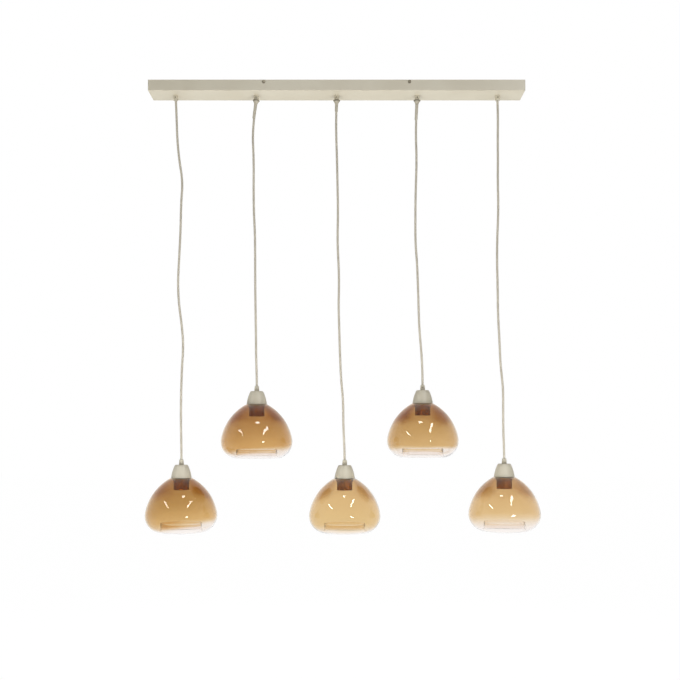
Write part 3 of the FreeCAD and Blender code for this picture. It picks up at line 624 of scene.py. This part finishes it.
def softened(corners: Outline, radius: float, steps: int = 3, most: float = 0.42) -> Outline:
    """Round every corner of a closed outline a little, as a tool or a mould leaves it.

    Args:
        corners: The outline's corners.
        radius: How far from the corner its rounding starts, at most.
        steps: Runs of the rounding.
        most: The largest share of a side that one rounding takes.

    Returns:
        The rounded outline. Corners on the axis stay.
    """
    rounded: Outline = []
    for number, here in enumerate(corners):
        before, after = corners[number - 1], corners[(number + 1) % len(corners)]
        if here[0] < WELD:
            rounded.append(here)
            continue
        ends = []
        for other in (before, after):
            run = Vector((other[0] - here[0], other[1] - here[1]))
            reach = min(radius, run.length * most)
            ends.append(Vector(here) + run.normalized() * reach)
        for step in range(steps + 1):
            share = step / steps
            spot = (ends[0] * (1 - share) ** 2 + Vector(here) * (2 * share * (1 - share))
                    + ends[1] * share ** 2)
            rounded.append((spot.x, spot.y))
    return rounded


def placed(name: str, data: bpy.types.ID) -> bpy.types.Object:
    """Make an object of its data and put it in the scene."""
    made = bpy.data.objects.new(name, data)
    bpy.context.collection.objects.link(made)
    return made


def copy_at(model: bpy.types.Object, name: str, move: Matrix) -> bpy.types.Object:
    """Copy a piece with a mesh of its own, at another place.

    Args:
        model: The piece to copy.
        name: The copy's name.
        move: Where it goes.

    Returns:
        The copy.
    """
    mesh = model.data.copy()
    mesh.name = name
    mesh.transform(move)
    return placed(name, mesh)


def dress(piece: bpy.types.Object, material: bpy.types.Material) -> bpy.types.Object:
    """Give a piece its one material."""
    piece.data.materials.clear()
    piece.data.materials.append(material)
    return piece


def stand_in(piece: bpy.types.Object, body: str, node: str,
             material: bpy.types.Material) -> bpy.types.Object:
    """Put a piece on its body in the place of a node.

    Args:
        piece: The piece.
        body: The body that it rides on.
        node: The node that it stands for.
        material: Its material.

    Returns:
        The piece.
    """
    dress(piece, material)
    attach(piece, body)
    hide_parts(node)
    log.info("%s stands for %s on %s", piece.name, node, body)
    return piece


# The object


@dataclass(frozen=True)
class Hanging:
    """One pendant of the row: its outlet, how far aside of it the head hangs, the top of its cap,
    its sleeve's length, the way its grip's screw points, in degrees from the front, and its cord's
    route from the outlet."""

    number: int
    outlet: float
    aside: float
    top: float
    sleeve: float
    screw_turn: float
    route: tuple[Point, ...]

    @property
    def head_x(self) -> float:
        """Where the head's axis is along the canopy."""
        return self.outlet + self.aside


# Height of the pivots that the cords swing about in their outlets.
PIVOT = -0.0414

PENDANTS = (
    Hanging(1, -0.432, 0.0185, -1.0205, 0.0, 160.0, (
        (0.0020, 0.0006, -0.085), (0.0042, -0.0010, -0.145), (0.0090, 0.0008, -0.200),
        (0.0190, 0.0016, -0.262), (0.0154, -0.0012, -0.318), (0.0138, 0.0009, -0.395),
        (0.0106, -0.0008, -0.468), (0.0070, 0.0012, -0.532), (0.0100, -0.0006, -0.590),
        (0.0170, 0.0010, -0.640), (0.0232, -0.0012, -0.700), (0.0184, 0.0006, -0.768),
        (0.0168, -0.0008, -0.845), (0.0166, 0.0009, -0.915), (0.0185, 0.0, -0.985),
        (0.0185, 0.0, -1.034))),
    Hanging(2, -0.216, 0.0030, -0.8245, 0.050, -140.0, (
        (-0.0106, 0.0006, -0.120), (-0.0062, -0.0008, -0.202), (-0.0068, 0.0009, -0.284),
        (-0.0058, -0.0008, -0.345), (-0.0028, 0.0007, -0.400), (-0.0020, -0.0009, -0.470),
        (-0.0018, 0.0008, -0.545), (-0.0008, -0.0007, -0.605), (0.0004, 0.0006, -0.675),
        (0.0010, -0.0008, -0.735), (0.0030, 0.0, -0.789), (0.0030, 0.0, -0.838))),
    Hanging(3, 0.0, 0.0215, -1.0215, 0.032, 120.0, (
        (-0.0014, 0.0006, -0.088), (-0.0012, -0.0008, -0.140), (0.0012, 0.0009, -0.210),
        (0.0024, -0.0009, -0.275), (0.0039, 0.0007, -0.345), (0.0020, -0.0007, -0.425),
        (0.0058, 0.0009, -0.495), (0.0064, -0.0006, -0.545), (0.0050, 0.0008, -0.595),
        (0.0070, -0.0008, -0.660), (0.0092, 0.0007, -0.735), (0.0120, -0.0006, -0.795),
        (0.0176, 0.0008, -0.850), (0.0178, -0.0007, -0.920), (0.0215, 0.0, -0.985),
        (0.0215, 0.0, -1.035))),
    Hanging(4, 0.216, 0.0135, -0.8220, 0.054, 0.0, (
        (-0.0042, 0.0006, -0.121), (-0.0012, -0.0008, -0.203), (-0.0040, 0.0008, -0.284),
        (-0.0052, -0.0006, -0.355), (-0.0049, 0.0008, -0.430), (-0.0008, -0.0007, -0.480),
        (0.0016, 0.0009, -0.540), (0.0032, -0.0008, -0.605), (0.0050, 0.0006, -0.660),
        (0.0112, -0.0007, -0.730), (0.0135, 0.0, -0.787), (0.0135, 0.0, -0.836))),
    Hanging(5, 0.432, 0.0145, -1.0175, 0.0, -165.0, (
        (0.0014, 0.0006, -0.085), (0.0002, -0.0008, -0.150), (0.0009, 0.0008, -0.205),
        (-0.0002, -0.0007, -0.260), (0.0018, 0.0009, -0.335), (-0.0022, -0.0008, -0.418),
        (-0.0026, 0.0007, -0.480), (-0.0012, -0.0006, -0.550), (-0.0006, 0.0008, -0.620),
        (0.0030, -0.0008, -0.690), (0.0056, 0.0007, -0.755), (0.0124, -0.0006, -0.815),
        (0.0124, 0.0008, -0.878), (0.0122, -0.0007, -0.930), (0.0145, 0.0, -0.983),
        (0.0145, 0.0, -1.0315))),
)


@dataclass(frozen=True)
class HungCord:
    """A textile cord from its outlet to its head, with the bend sleeve where it has one."""

    hanging: Hanging
    finishes: Finishes
    radius: float = 0.003
    sides: int = 20
    ring_gap: float = 0.0025
    grip_rise: float = 0.014
    sleeve_cup_r: float = 0.007
    sleeve_mouth_r: float = 0.0094
    sleeve_mouth_drop: float = 0.0014
    sleeve_neck_r: float = 0.0043
    sleeve_neck_drop: float = 0.0105
    sleeve_end_r: float = 0.0039
    sleeve_bore_r: float = 0.0033
    sleeve_edge: float = 0.0007
    stiff_start: float = 0.02
    bend_gap: float = 0.004

    def route(self) -> list[Point]:
        """The cord's route in the frame."""
        outlet = self.hanging.outlet
        return [(outlet, 0.0, PIVOT), *((outlet + x, y, z) for x, y, z in self.hanging.route)]

    def centreline(self) -> list[Vector]:
        """Read the points of the route's smooth spline."""
        curve = bpy.data.curves.new("route", "CURVE")
        curve.dimensions = "3D"
        spline = curve.splines.new("NURBS")
        route = self.route()
        spline.points.add(len(route) - 1)
        for point, spot in zip(spline.points, route):
            point.co = (*spot, 1.0)
        spline.order_u = 3
        spline.use_endpoint_u = True
        spline.resolution_u = 24
        holder = bpy.data.objects.new("route", curve)
        line = bpy.data.meshes.new_from_object(holder)
        points = [vertex.co.copy() for vertex in line.vertices]
        bpy.data.objects.remove(holder)
        bpy.data.meshes.remove(line)
        return points

    def rings(self, line: list[Vector]) -> list[tuple[Vector, float]]:
        """Spread points evenly along a line.

        Args:
            line: The line's points.

        Returns:
            Points with their distance along the line.
        """
        lengths = [0.0]
        for one, two in zip(line, line[1:]):
            lengths.append(lengths[-1] + (two - one).length)
        count = round(lengths[-1] / self.ring_gap)
        spread, run = [], 0
        for number in range(count + 1):
            far = lengths[-1] * number / count
            while run < len(line) - 2 and lengths[run + 1] < far:
                run += 1
            share = (far - lengths[run]) / (lengths[run + 1] - lengths[run])
            spread.append((line[run].lerp(line[run + 1], min(share, 1.0)), far))
        return spread

    def tube(self, spread: list[tuple[Vector, float]]) -> bpy.types.Object:
        """Build the cord's tube, with a map of U round it and V along it in metres.

        Args:
            spread: Points with their distance along the cord.

        Returns:
            The tube.
        """
        points = [spot for spot, _ in spread]
        corners: list[Vector] = []
        for number, spot in enumerate(points):
            ahead = points[min(number + 1, len(points) - 1)]
            behind = points[max(number - 1, 0)]
            along = (ahead - behind).normalized()
            across = Vector((0, 1, 0)).cross(along).normalized()
            out = along.cross(across)
            for side in range(self.sides):
                turn = math.tau * side / self.sides
                round_it = across * math.cos(turn) + out * math.sin(turn)
                corners.append(spot + round_it * self.radius)
        last = len(points) - 1
        faces = [tuple(reversed(range(self.sides))),
                 tuple(range(last * self.sides, (last + 1) * self.sides))]
        for ring in range(last):
            for side in range(self.sides):
                after = (side + 1) % self.sides
                faces.append((ring * self.sides + side, ring * self.sides + after,
                              (ring + 1) * self.sides + after, (ring + 1) * self.sides + side))
        name = f"cord_braid_{self.hanging.number}"
        mesh = bpy.data.meshes.new(name)
        mesh.from_pydata(corners, [], faces)
        layer = mesh.uv_layers.new(name="braid")
        for face in mesh.polygons:
            for loop, corner in zip(face.loop_indices, face.vertices):
                ring, side = divmod(corner, self.sides)
                wraps = side == 0 and any(v % self.sides == self.sides - 1 for v in face.vertices)
                turn = self.sides if wraps else side
                layer.data[loop].uv = (turn / self.sides, spread[ring][1])
        mesh.shade_smooth()
        return placed(name, mesh)

    def sleeve_outline(self) -> Outline:
        """The sleeve's outline. The cup is an arc round the pivot, which is at height 0."""
        mouth, mouth_drop = self.sleeve_mouth_r, self.sleeve_mouth_drop
        neck, neck_drop = self.sleeve_neck_r, self.sleeve_neck_drop
        edge, long = self.sleeve_edge, self.hanging.sleeve
        rim = math.asin(mouth_drop / self.sleeve_cup_r)
        deep = math.acos(self.sleeve_bore_r / self.sleeve_cup_r)
        cup = arc((0.0, 0.0), self.sleeve_cup_r, -math.degrees(rim), -math.degrees(deep), 10)
        return [
            *cup, (self.sleeve_bore_r, -long), (self.sleeve_end_r - edge * 0.5, -long),
            (self.sleeve_end_r, edge - long), (neck * 0.96, -neck_drop * 1.9),
            (neck, -neck_drop * 1.12), (neck * 1.12, -neck_drop * 0.92),
            (mouth - edge, -mouth_drop - edge * 1.4), (mouth, -mouth_drop - edge * 0.5),
            (mouth - edge * 0.6, -mouth_drop),
        ]

    def build(self) -> None:
        """Build the cord and its sleeve, and put the sleeve on its body."""
        number = self.hanging.number
        line = self.centreline()
        spread = self.rings(line)
        cord = dress(self.tube(spread), self.finishes.braid)
        start = PIVOT - max(self.hanging.sleeve, self.stiff_start) - self.bend_gap
        if self.hanging.sleeve:
            along = line[1] - line[0]
            tilt = Vector((0, 0, -1)).rotation_difference(along).to_matrix().to_4x4()
            model = spun("sleeve_model", self.sleeve_outline(), 40)
            place = Matrix.Translation((self.hanging.outlet, 0.0, PIVOT))
            sleeve = copy_at(model, f"bend_sleeve_{number}", place @ tilt)
            bpy.data.objects.remove(model)
            stand_in(sleeve, f"hung_cord_{number}", f"cord_sleeve_{number}",
                     self.finishes.sleeve)
        end = self.hanging.top + self.grip_rise + self.bend_gap
        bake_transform(cord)
        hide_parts(f"cord_{number}")
        2 * self.radius


@dataclass(frozen=True)
class Head:
    """A pendant's head: grip, cap, glass, ring, lampholder and its inner pieces. Every height is
    from the top of the cap."""

    cap_top_r: float = 0.0167
    cap_waist_r: float = 0.0235
    cap_waist_height: float = 0.018
    cap_foot_r: float = 0.0272
    cap_height: float = 0.035
    cap_wall: float = 0.0012
    cap_shoulder: float = 0.0028
    grip_foot_r: float = 0.0064
    grip_top_r: float = 0.0055
    grip_height: float = 0.014
    grip_bore_r: float = 0.0033
    grip_stem_r: float = 0.0049
    grip_stem: float = 0.014
    grip_screw_r: float = 0.0015
    grip_screw_height: float = 0.0075
    glass_wall: float = 0.0026
    glass_hole_r: float = 0.0207
    glass_shoulder_r: float = 0.028
    glass_crown_r: float = 0.130
    glass_side_r: float = 0.060
    glass_widest_r: float = 0.095
    glass_widest_drop: float = 0.100
    glass_turn_r: float = 0.0445
    glass_rim_r: float = 0.006
    glass_mouth_r: float = 0.052
    glass_lip_drop: float = 0.1195
    glass_bead: float = 0.62
    glass_lip_fade: float = 0.3
    holder_r: float = 0.02025
    holder_wall: float = 0.0018
    holder_drop: float = 0.032
    holder_flange_r: float = 0.0245
    holder_flange: float = 0.003
    holder_dome_r: float = 0.012
    holder_dome_height: float = 0.024
    holder_shoulder_height: float = 0.014
    holder_neck: float = 0.006
    holder_step: float = 0.001
    holder_round: float = 0.0006
    ring_r: float = 0.0232
    ring_height: float = 0.0067
    ring_foot: float = 0.004
    ring_round: float = 0.0003
    ring_play: float = 0.00015
    stem_play: float = 0.0002
    shell_play: float = 0.00005
    edge: float = 0.0004
    chamfer: float = 0.0008

    def cap(self) -> bpy.types.Object:
        """Turn the cap: bellied sides, rounded shoulder, thin wall and a rolled foot."""
        foot, waist, top = self.cap_foot_r, self.cap_waist_r, self.cap_top_r
        high, wall = self.cap_height, self.cap_wall
        side = self.through((foot, -high), (waist, self.cap_waist_height - high), (top, 0.0), 18)
        roll = self.cap_shoulder
        lower = [spot for spot in side if spot[1] < -roll * 1.05]
        shoulder = arc((top - roll * 0.72, -roll), roll, 14.0, 90.0, 8)
        inner = [(radius - wall, height) for radius, height in reversed(lower)]
        hole = self.grip_stem_r + self.stem_play
        outline = [
            *lower, *shoulder, (hole, 0.0), (hole, -wall), (top - roll - wall * 0.4, -wall),
            (top - wall * 1.1, -roll), *inner[:-1], (foot - wall, self.edge - high),
            (foot - wall * 0.8, -high), (foot - wall * 0.2, -high),
        ]
        return spun("cap_model", outline, 72, 40.0)

    @staticmethod
    def through(one: tuple[float, float], via: tuple[float, float], two: tuple[float, float],
                steps: int) -> Outline:
        """Points of the arc through three places.

        Args:
            one: Its start.
            via: A place on it.
            two: Its end.
            steps: How many runs it has.

        Returns:
            The points, both ends among them.
        """
        first, middle, last = complex(*one), complex(*via), complex(*two)
        skew = (last - first) / (middle - first)
        centre = first + (middle - first) * (skew - abs(skew) ** 2) / (2j * skew.imag)
        start, end = (math.degrees(cmath.phase(spot - centre)) for spot in (first, last))
        return arc((centre.real, centre.imag), abs(first - centre), start, end, steps)

    def grip(self) -> bpy.types.Object:
        """Turn the cord grip with its stem, and drill the hole of its screw to the front."""
        foot, top, high = self.grip_foot_r, self.grip_top_r, self.grip_height
        outline = softened([
            (self.grip_bore_r, -self.grip_stem), (self.grip_stem_r, -self.grip_stem),
            (self.grip_stem_r, 0.0), (foot, 0.0), (foot, high * 0.3),
            (top, high - self.chamfer), (top - self.chamfer, high), (self.grip_bore_r, high),
        ], self.edge)
        piece = spun("grip_model", outline, 48, 50.0)
        clear_selection()
        bpy.ops.mesh.primitive_cylinder_add(
            vertices=32, radius=self.grip_screw_r, depth=foot, rotation=(math.pi / 2, 0, 0),
            location=(0.0, -foot / 2 - self.grip_bore_r / 2, self.grip_screw_height))
        drill = bpy.context.object
        clear_selection()
        bpy.context.view_layer.objects.active = piece
        piece.select_set(True)
        hole = piece.modifiers.new("screw_hole", "BOOLEAN")
        hole.object = drill
        hole.solver = "EXACT"
        bpy.ops.object.modifier_apply(modifier=hole.name)
        bpy.data.objects.remove(drill)
        bpy.ops.object.shade_smooth_by_angle(angle=math.radians(40.0))
        return piece

    def glass_outline(self) -> Outline:
        """The glass wall's closed outline, from the hole's edge out and down to the rim, up the lip
        and back inside. Heights are from the glass's top."""
        wall, widest, drop = self.glass_wall, self.glass_widest_r, self.glass_widest_drop
        side_c = (widest - self.glass_side_r, -drop)
        turn_c = (widest - self.glass_turn_r, -drop)
        across = self.glass_mouth_r + self.glass_rim_r - turn_c[0]
        inner_turn = self.glass_turn_r - self.glass_rim_r
        rim_c = (self.glass_mouth_r + self.glass_rim_r,
                 -drop - math.sqrt(inner_turn ** 2 - across ** 2))
        crown_c = self.crown_centre(side_c)
        to_side = math.degrees(math.atan2(side_c[1] - crown_c[1], side_c[0] - crown_c[0]))
        to_rim = math.degrees(math.atan2(rim_c[1] - turn_c[1], rim_c[0] - turn_c[0]))
        walls = []
        for inset in (0.0, wall):
            crown, rise = self.glass_crown_r - inset, -inset - crown_c[1]
            start = math.degrees(math.asin(rise / crown))
            rim_r = self.glass_rim_r - inset
            points = arc(crown_c, crown, start, to_side, 14)
            points += arc(side_c, self.glass_side_r - inset, to_side, 0.0, 16)[1:]
            points += arc(turn_c, self.glass_turn_r - inset, 0.0, to_rim, 16)[1:]
            points += arc(rim_c, rim_r, to_rim, -180.0, 12)[1:]
            walls.append(points)
        bead = wall * self.glass_bead
        lip = (self.glass_mouth_r + wall / 2, -self.glass_lip_drop - bead)
        outer, inner = walls
        hole, chamfer = self.glass_hole_r, self.chamfer
        top_edge = [(hole + chamfer, -wall), (hole, chamfer - wall), (hole, -chamfer),
                    (hole + chamfer, 0.0)]
        return [*top_edge, *outer, *arc(lip, bead, 205.0, -25.0, 10), *reversed(inner)]

    def crown_centre(self, side_c: tuple[float, float]) -> tuple[float, float]:
        """Centre of the arc that starts at the shoulder and touches the side's arc.

        Args:
            side_c: The side arc's centre.

        Returns:
            The crown arc's centre.
        """
        away = self.glass_crown_r - self.glass_side_r
        between = Vector((side_c[0] - self.glass_shoulder_r, side_c[1]))
        gap = between.length
        along = (self.glass_crown_r ** 2 - away ** 2 + gap ** 2) / (2 * gap)
        off = math.sqrt(self.glass_crown_r ** 2 - along ** 2)
        between.normalize()
        spot = between * along + Vector((between.y, -between.x)) * off
        return (self.glass_shoulder_r + spot.x, spot.y)

    def glass(self) -> bpy.types.Object:
        """Spin the glass, and map U round it and V up it. The folded lip takes the rim's low V."""
        piece = spun("glass_model", self.glass_outline(), 128, 70.0)
        mesh = piece.data
        low = min(vertex.co.z for vertex in mesh.vertices)
        layer = mesh.uv_layers.new(name="wall")
        lip = self.glass_mouth_r + self.glass_rim_r
        for face in mesh.polygons:
            middle = math.atan2(face.center.y, face.center.x)
            for loop, corner in zip(face.loop_indices, face.vertices):
                spot = mesh.vertices[corner].co
                turn = math.atan2(spot.y, spot.x)
                turn += math.tau * round((middle - turn) / math.tau)
                up = 1 - spot.z / low
                if spot.z < -self.glass_widest_drop and math.hypot(spot.x, spot.y) < lip:
                    up *= self.glass_lip_fade
                layer.data[loop].uv = (turn / math.tau, up)
        return piece

    def ring(self) -> bpy.types.Object:
        """Turn the shade ring, whose foot is narrower than its flange under the glass."""
        bore, outer, high = self.holder_r + self.ring_play, self.ring_r, self.ring_height
        cut = self.chamfer
        inset = outer - cut
        outline = softened([
            (bore, -high), (inset - cut, -high), (inset, cut - high),
            (inset, self.ring_foot - high), (outer, self.ring_foot + cut - high), (outer, 0.0),
            (bore, 0.0),
        ], self.ring_round)
        return spun("ring_model", outline, 72, 50.0)

    def holder(self) -> bpy.types.Object:
        """Turn the lampholder's shell."""
        wall, outer, low = self.holder_wall, self.holder_r, self.holder_drop
        dome, shoulder = self.holder_dome_height, self.holder_shoulder_height
        stem, step = self.grip_stem_r + self.shell_play, self.holder_step
        neck = dome - self.holder_neck
        outline = softened([
            (outer - wall, -low), (outer - self.edge, -low), (outer, self.edge - low), (outer, 0.0),
            (self.holder_flange_r, 0.0), (self.holder_flange_r, self.holder_flange),
            (outer - step, self.holder_flange), (outer - step, shoulder),
            (self.holder_dome_r, dome), (stem, dome), (stem, neck),
            (self.holder_dome_r - wall, neck), (outer - wall, shoulder - 2 * wall),
        ], self.holder_round)
        return spun("holder_model", outline, 64, 45.0)

    def build(self, finishes: Finishes) -> None:
        """Model each piece once, and copy it to every pendant.

        Args:
            finishes: The object's finishes.
        """
        models = (
            (self.cap(), "lamp_cap", "spun_cap", 0.0, "cream_enamel", finishes.cream),
            (self.grip(), "cord_grip", "turned_grip", 0.0, "cream_enamel", finishes.cream),
            (self.glass(), "glass_shade", "blown_glass", -self.cap_height, "amber_glass",
             finishes.glass),
            (self.ring(), "shade_ring", "clamp_ring", -self.cap_height - self.glass_wall,
             "brown_bakelite", finishes.ring),
            (self.holder(), "lampholder", "holder_shell", -self.cap_height, "lampholder_black",
             finishes.holder),
        )
        for model, node, name, height, slot, material in models:
            for hanging in PENDANTS:
                turned = Matrix.Rotation(math.radians(hanging.screw_turn), 4, "Z")
                move = Matrix.Translation((hanging.head_x, 0.0, hanging.top + height)) @ (
                    turned if node == "cord_grip" else Matrix())
                piece = copy_at(model, f"{name}_{hanging.number}", move)
                own = material[hanging.number - 1] if isinstance(material, tuple) else material
                stand_in(piece, f"head_{hanging.number}", f"{node}_{hanging.number}", own)
            bpy.data.objects.remove(model)


@dataclass(frozen=True)
class Canopy:
    """The canopy on the ceiling with its outlets, and the small inner pieces of every pendant."""

    frame: dict
    finishes: Finishes

    def build(self) -> None:
        """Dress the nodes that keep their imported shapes."""
        own = self.finishes
        by_node = {
            "canopy_cover": own.cream, "ceiling_bracket": own.zinc, "side_screws": own.screw,
            "terminal_block": own.connector, "terminal_screws": own.brass,
            "earth_screw": own.brass, "gland_bodies": own.cream, "gland_nuts": own.zinc,
            "gland_grub_screws": own.dark_screw, "lead_tails": own.tail,
        }
        for number in range(1, len(PENDANTS) + 1):
            by_node[f"cord_bush_{number}"] = own.nylon
            by_node[f"grip_screw_{number}"] = own.dark_screw
            by_node[f"holder_insulator_{number}"] = own.ceramic
            by_node[f"holder_contacts_{number}"] = own.contact
        for node, material in by_node.items():
            dress(self.frame["nodes"][node], material)
            log.info("%s dressed", node)


@dataclass(frozen=True)
class Studio:
    """The white room: floor, lamps, world and camera."""

    floor_z: float = -1.9
    floor_size: float = 40.0
    floor_white: float = 0.93
    world_level: float = 0.50
    lamp_z: float = 0.62
    gleam_level: float = 54.0
    eye: Point = (0.009, -2.344, -0.953)
    pitch: float = 1.16
    lens: float = 46.54
    shift: float = 0.12

    def floor(self) -> None:
        """Lay the pale floor."""
        clear_selection()
        bpy.ops.mesh.primitive_plane_add(size=self.floor_size, location=(0, 0, self.floor_z))
        bpy.ops.object.mode_set(mode="EDIT")
        bpy.ops.mesh.subdivide(number_cuts=4)
        floor = settle("studio_floor")
        shader = Shader(bpy.data.materials.new("studio_white"))
        grain = shader.noise(3.0)
        lit = shader.node("ShaderNodeBsdfDiffuse", None, {
            "Color": shader.mix(grain, (0.86, 0.86, 0.86), (0.88, 0.88, 0.88))})
        white = shader.node("ShaderNodeEmission", None, {"Color": (1, 1, 1), "Strength": 1.04})
        dress(floor, shader.close(shader.node("ShaderNodeMixShader", None, {
            0: self.looked_at(shader) * self.floor_white, 1: lit, 2: white})))

    @staticmethod
    def looked_at(shader: Shader) -> Value:
        """Give 1 where the camera, gloss or glass looks on, and 0 where light is gathered."""
        path = shader.node("ShaderNodeLightPath")
        rays = path.part("Is Camera Ray") + path.part("Is Glossy Ray")
        return (rays + path.part("Is Transmission Ray")).ramp(0.0, 1.0)

    def world(self) -> None:
        """Make the world white to look at, and plain grey as a light."""
        world = bpy.data.worlds.new("studio")
        bpy.context.scene.world = world
        shader = Shader(world)
        light = shader.node("ShaderNodeBackground", None,
                            {"Color": (1, 1, 1), "Strength": self.world_level})
        white = shader.node("ShaderNodeBackground", None, {"Color": (1, 1, 1), "Strength": 1.0})
        both = shader.node("ShaderNodeMixShader", None,
                           {0: self.looked_at(shader), 1: light, 2: white})
        shader.node("ShaderNodeOutputWorld", None, {"Surface": both})

    def lamp(self, name: str, place: Point, target: Point | None, size: tuple[float, float],
             level: float, role: Role) -> None:
        """Add a soft lamp, which only reflections and light show.

        Args:
            name: Its name.
            place: Where it stands.
            target: Where it points, or None for straight down.
            size: Its width and length. It is round where they are the same.
            level: How bright its face is, where 1 is white.
            role: What it does.
        """
        light = bpy.data.lights.new(name, "AREA")
        light.shape = "DISK" if size[0] == size[1] else "RECTANGLE"
        light.size, light.size_y = size
        area = size[0] * size[1] * (math.pi / 4 if light.shape == "DISK" else 1.0)
        light.energy = level * area * math.pi
        lamp = placed(name, light)
        lamp.location = place
        lamp.visible_camera = False
        lamp.visible_transmission = False
        lamp.visible_diffuse = role is Role.LIGHTS
        lamp.visible_glossy = role is Role.GLEAMS
        if target is not None:
            aim = Vector(target) - Vector(place)
            lamp.rotation_euler = aim.to_track_quat("-Z", "Y").to_euler()

    def lamps(self) -> None:
        """Hang the three lamps overhead, the round one beside the camera and the two fills."""
        middle = (0.0, 0.0, -0.95)
        for name, x, y, size in (("long_lamp_left", -2.30, -1.70, (0.26, 1.4)),
                                 ("long_lamp_right", 1.03, -1.70, (0.26, 1.4)),
                                 ("small_lamp", -0.06, -0.95, (0.30, 0.22))):
            self.lamp(name, (x, y, self.lamp_z), None, size, self.gleam_level, Role.GLEAMS)
        self.lamp("round_lamp", (1.40, -3.20, -1.00), middle, (0.60, 0.60), self.gleam_level,
                  Role.GLEAMS)
        self.lamp("low_fill", (0.0, -0.5, self.floor_z + 0.05), (0.0, 0.0, -0.5), (2.6, 1.6), 3.8,
                  Role.LIGHTS)
        self.lamp("back_fill", (0.0, 2.6, -0.4), middle, (2.4, 1.2), 1.2, Role.LIGHTS)

    def camera(self) -> None:
        """Put the camera where the photograph was taken from."""
        data = bpy.data.cameras.new("camera")
        data.sensor_width = 36.0
        data.lens = self.lens
        data.shift_y = self.shift
        data.clip_end = 100.0
        camera = placed("camera", data)
        camera.location = self.eye
        camera.rotation_euler = (math.radians(90.0 + self.pitch), 0.0, 0.0)
        bpy.context.scene.camera = camera

    def build(self) -> None:
        """Set up the room."""
        self.floor()
        self.world()
        self.lamps()
        self.camera()
        bpy.context.scene.view_settings.view_transform = "Standard"


def main() -> None:
    """Dress the object and set up the room."""
    logging.basicConfig(level=logging.INFO, format="%(name)s: %(message)s")
    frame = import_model()
    finishes = Finishes.make()
    Studio().build()
    for hanging in PENDANTS:
        HungCord(hanging, finishes).build()
    Head().build(finishes)
    Canopy(frame, finishes).build()


if __name__ == "__main__":
    main()
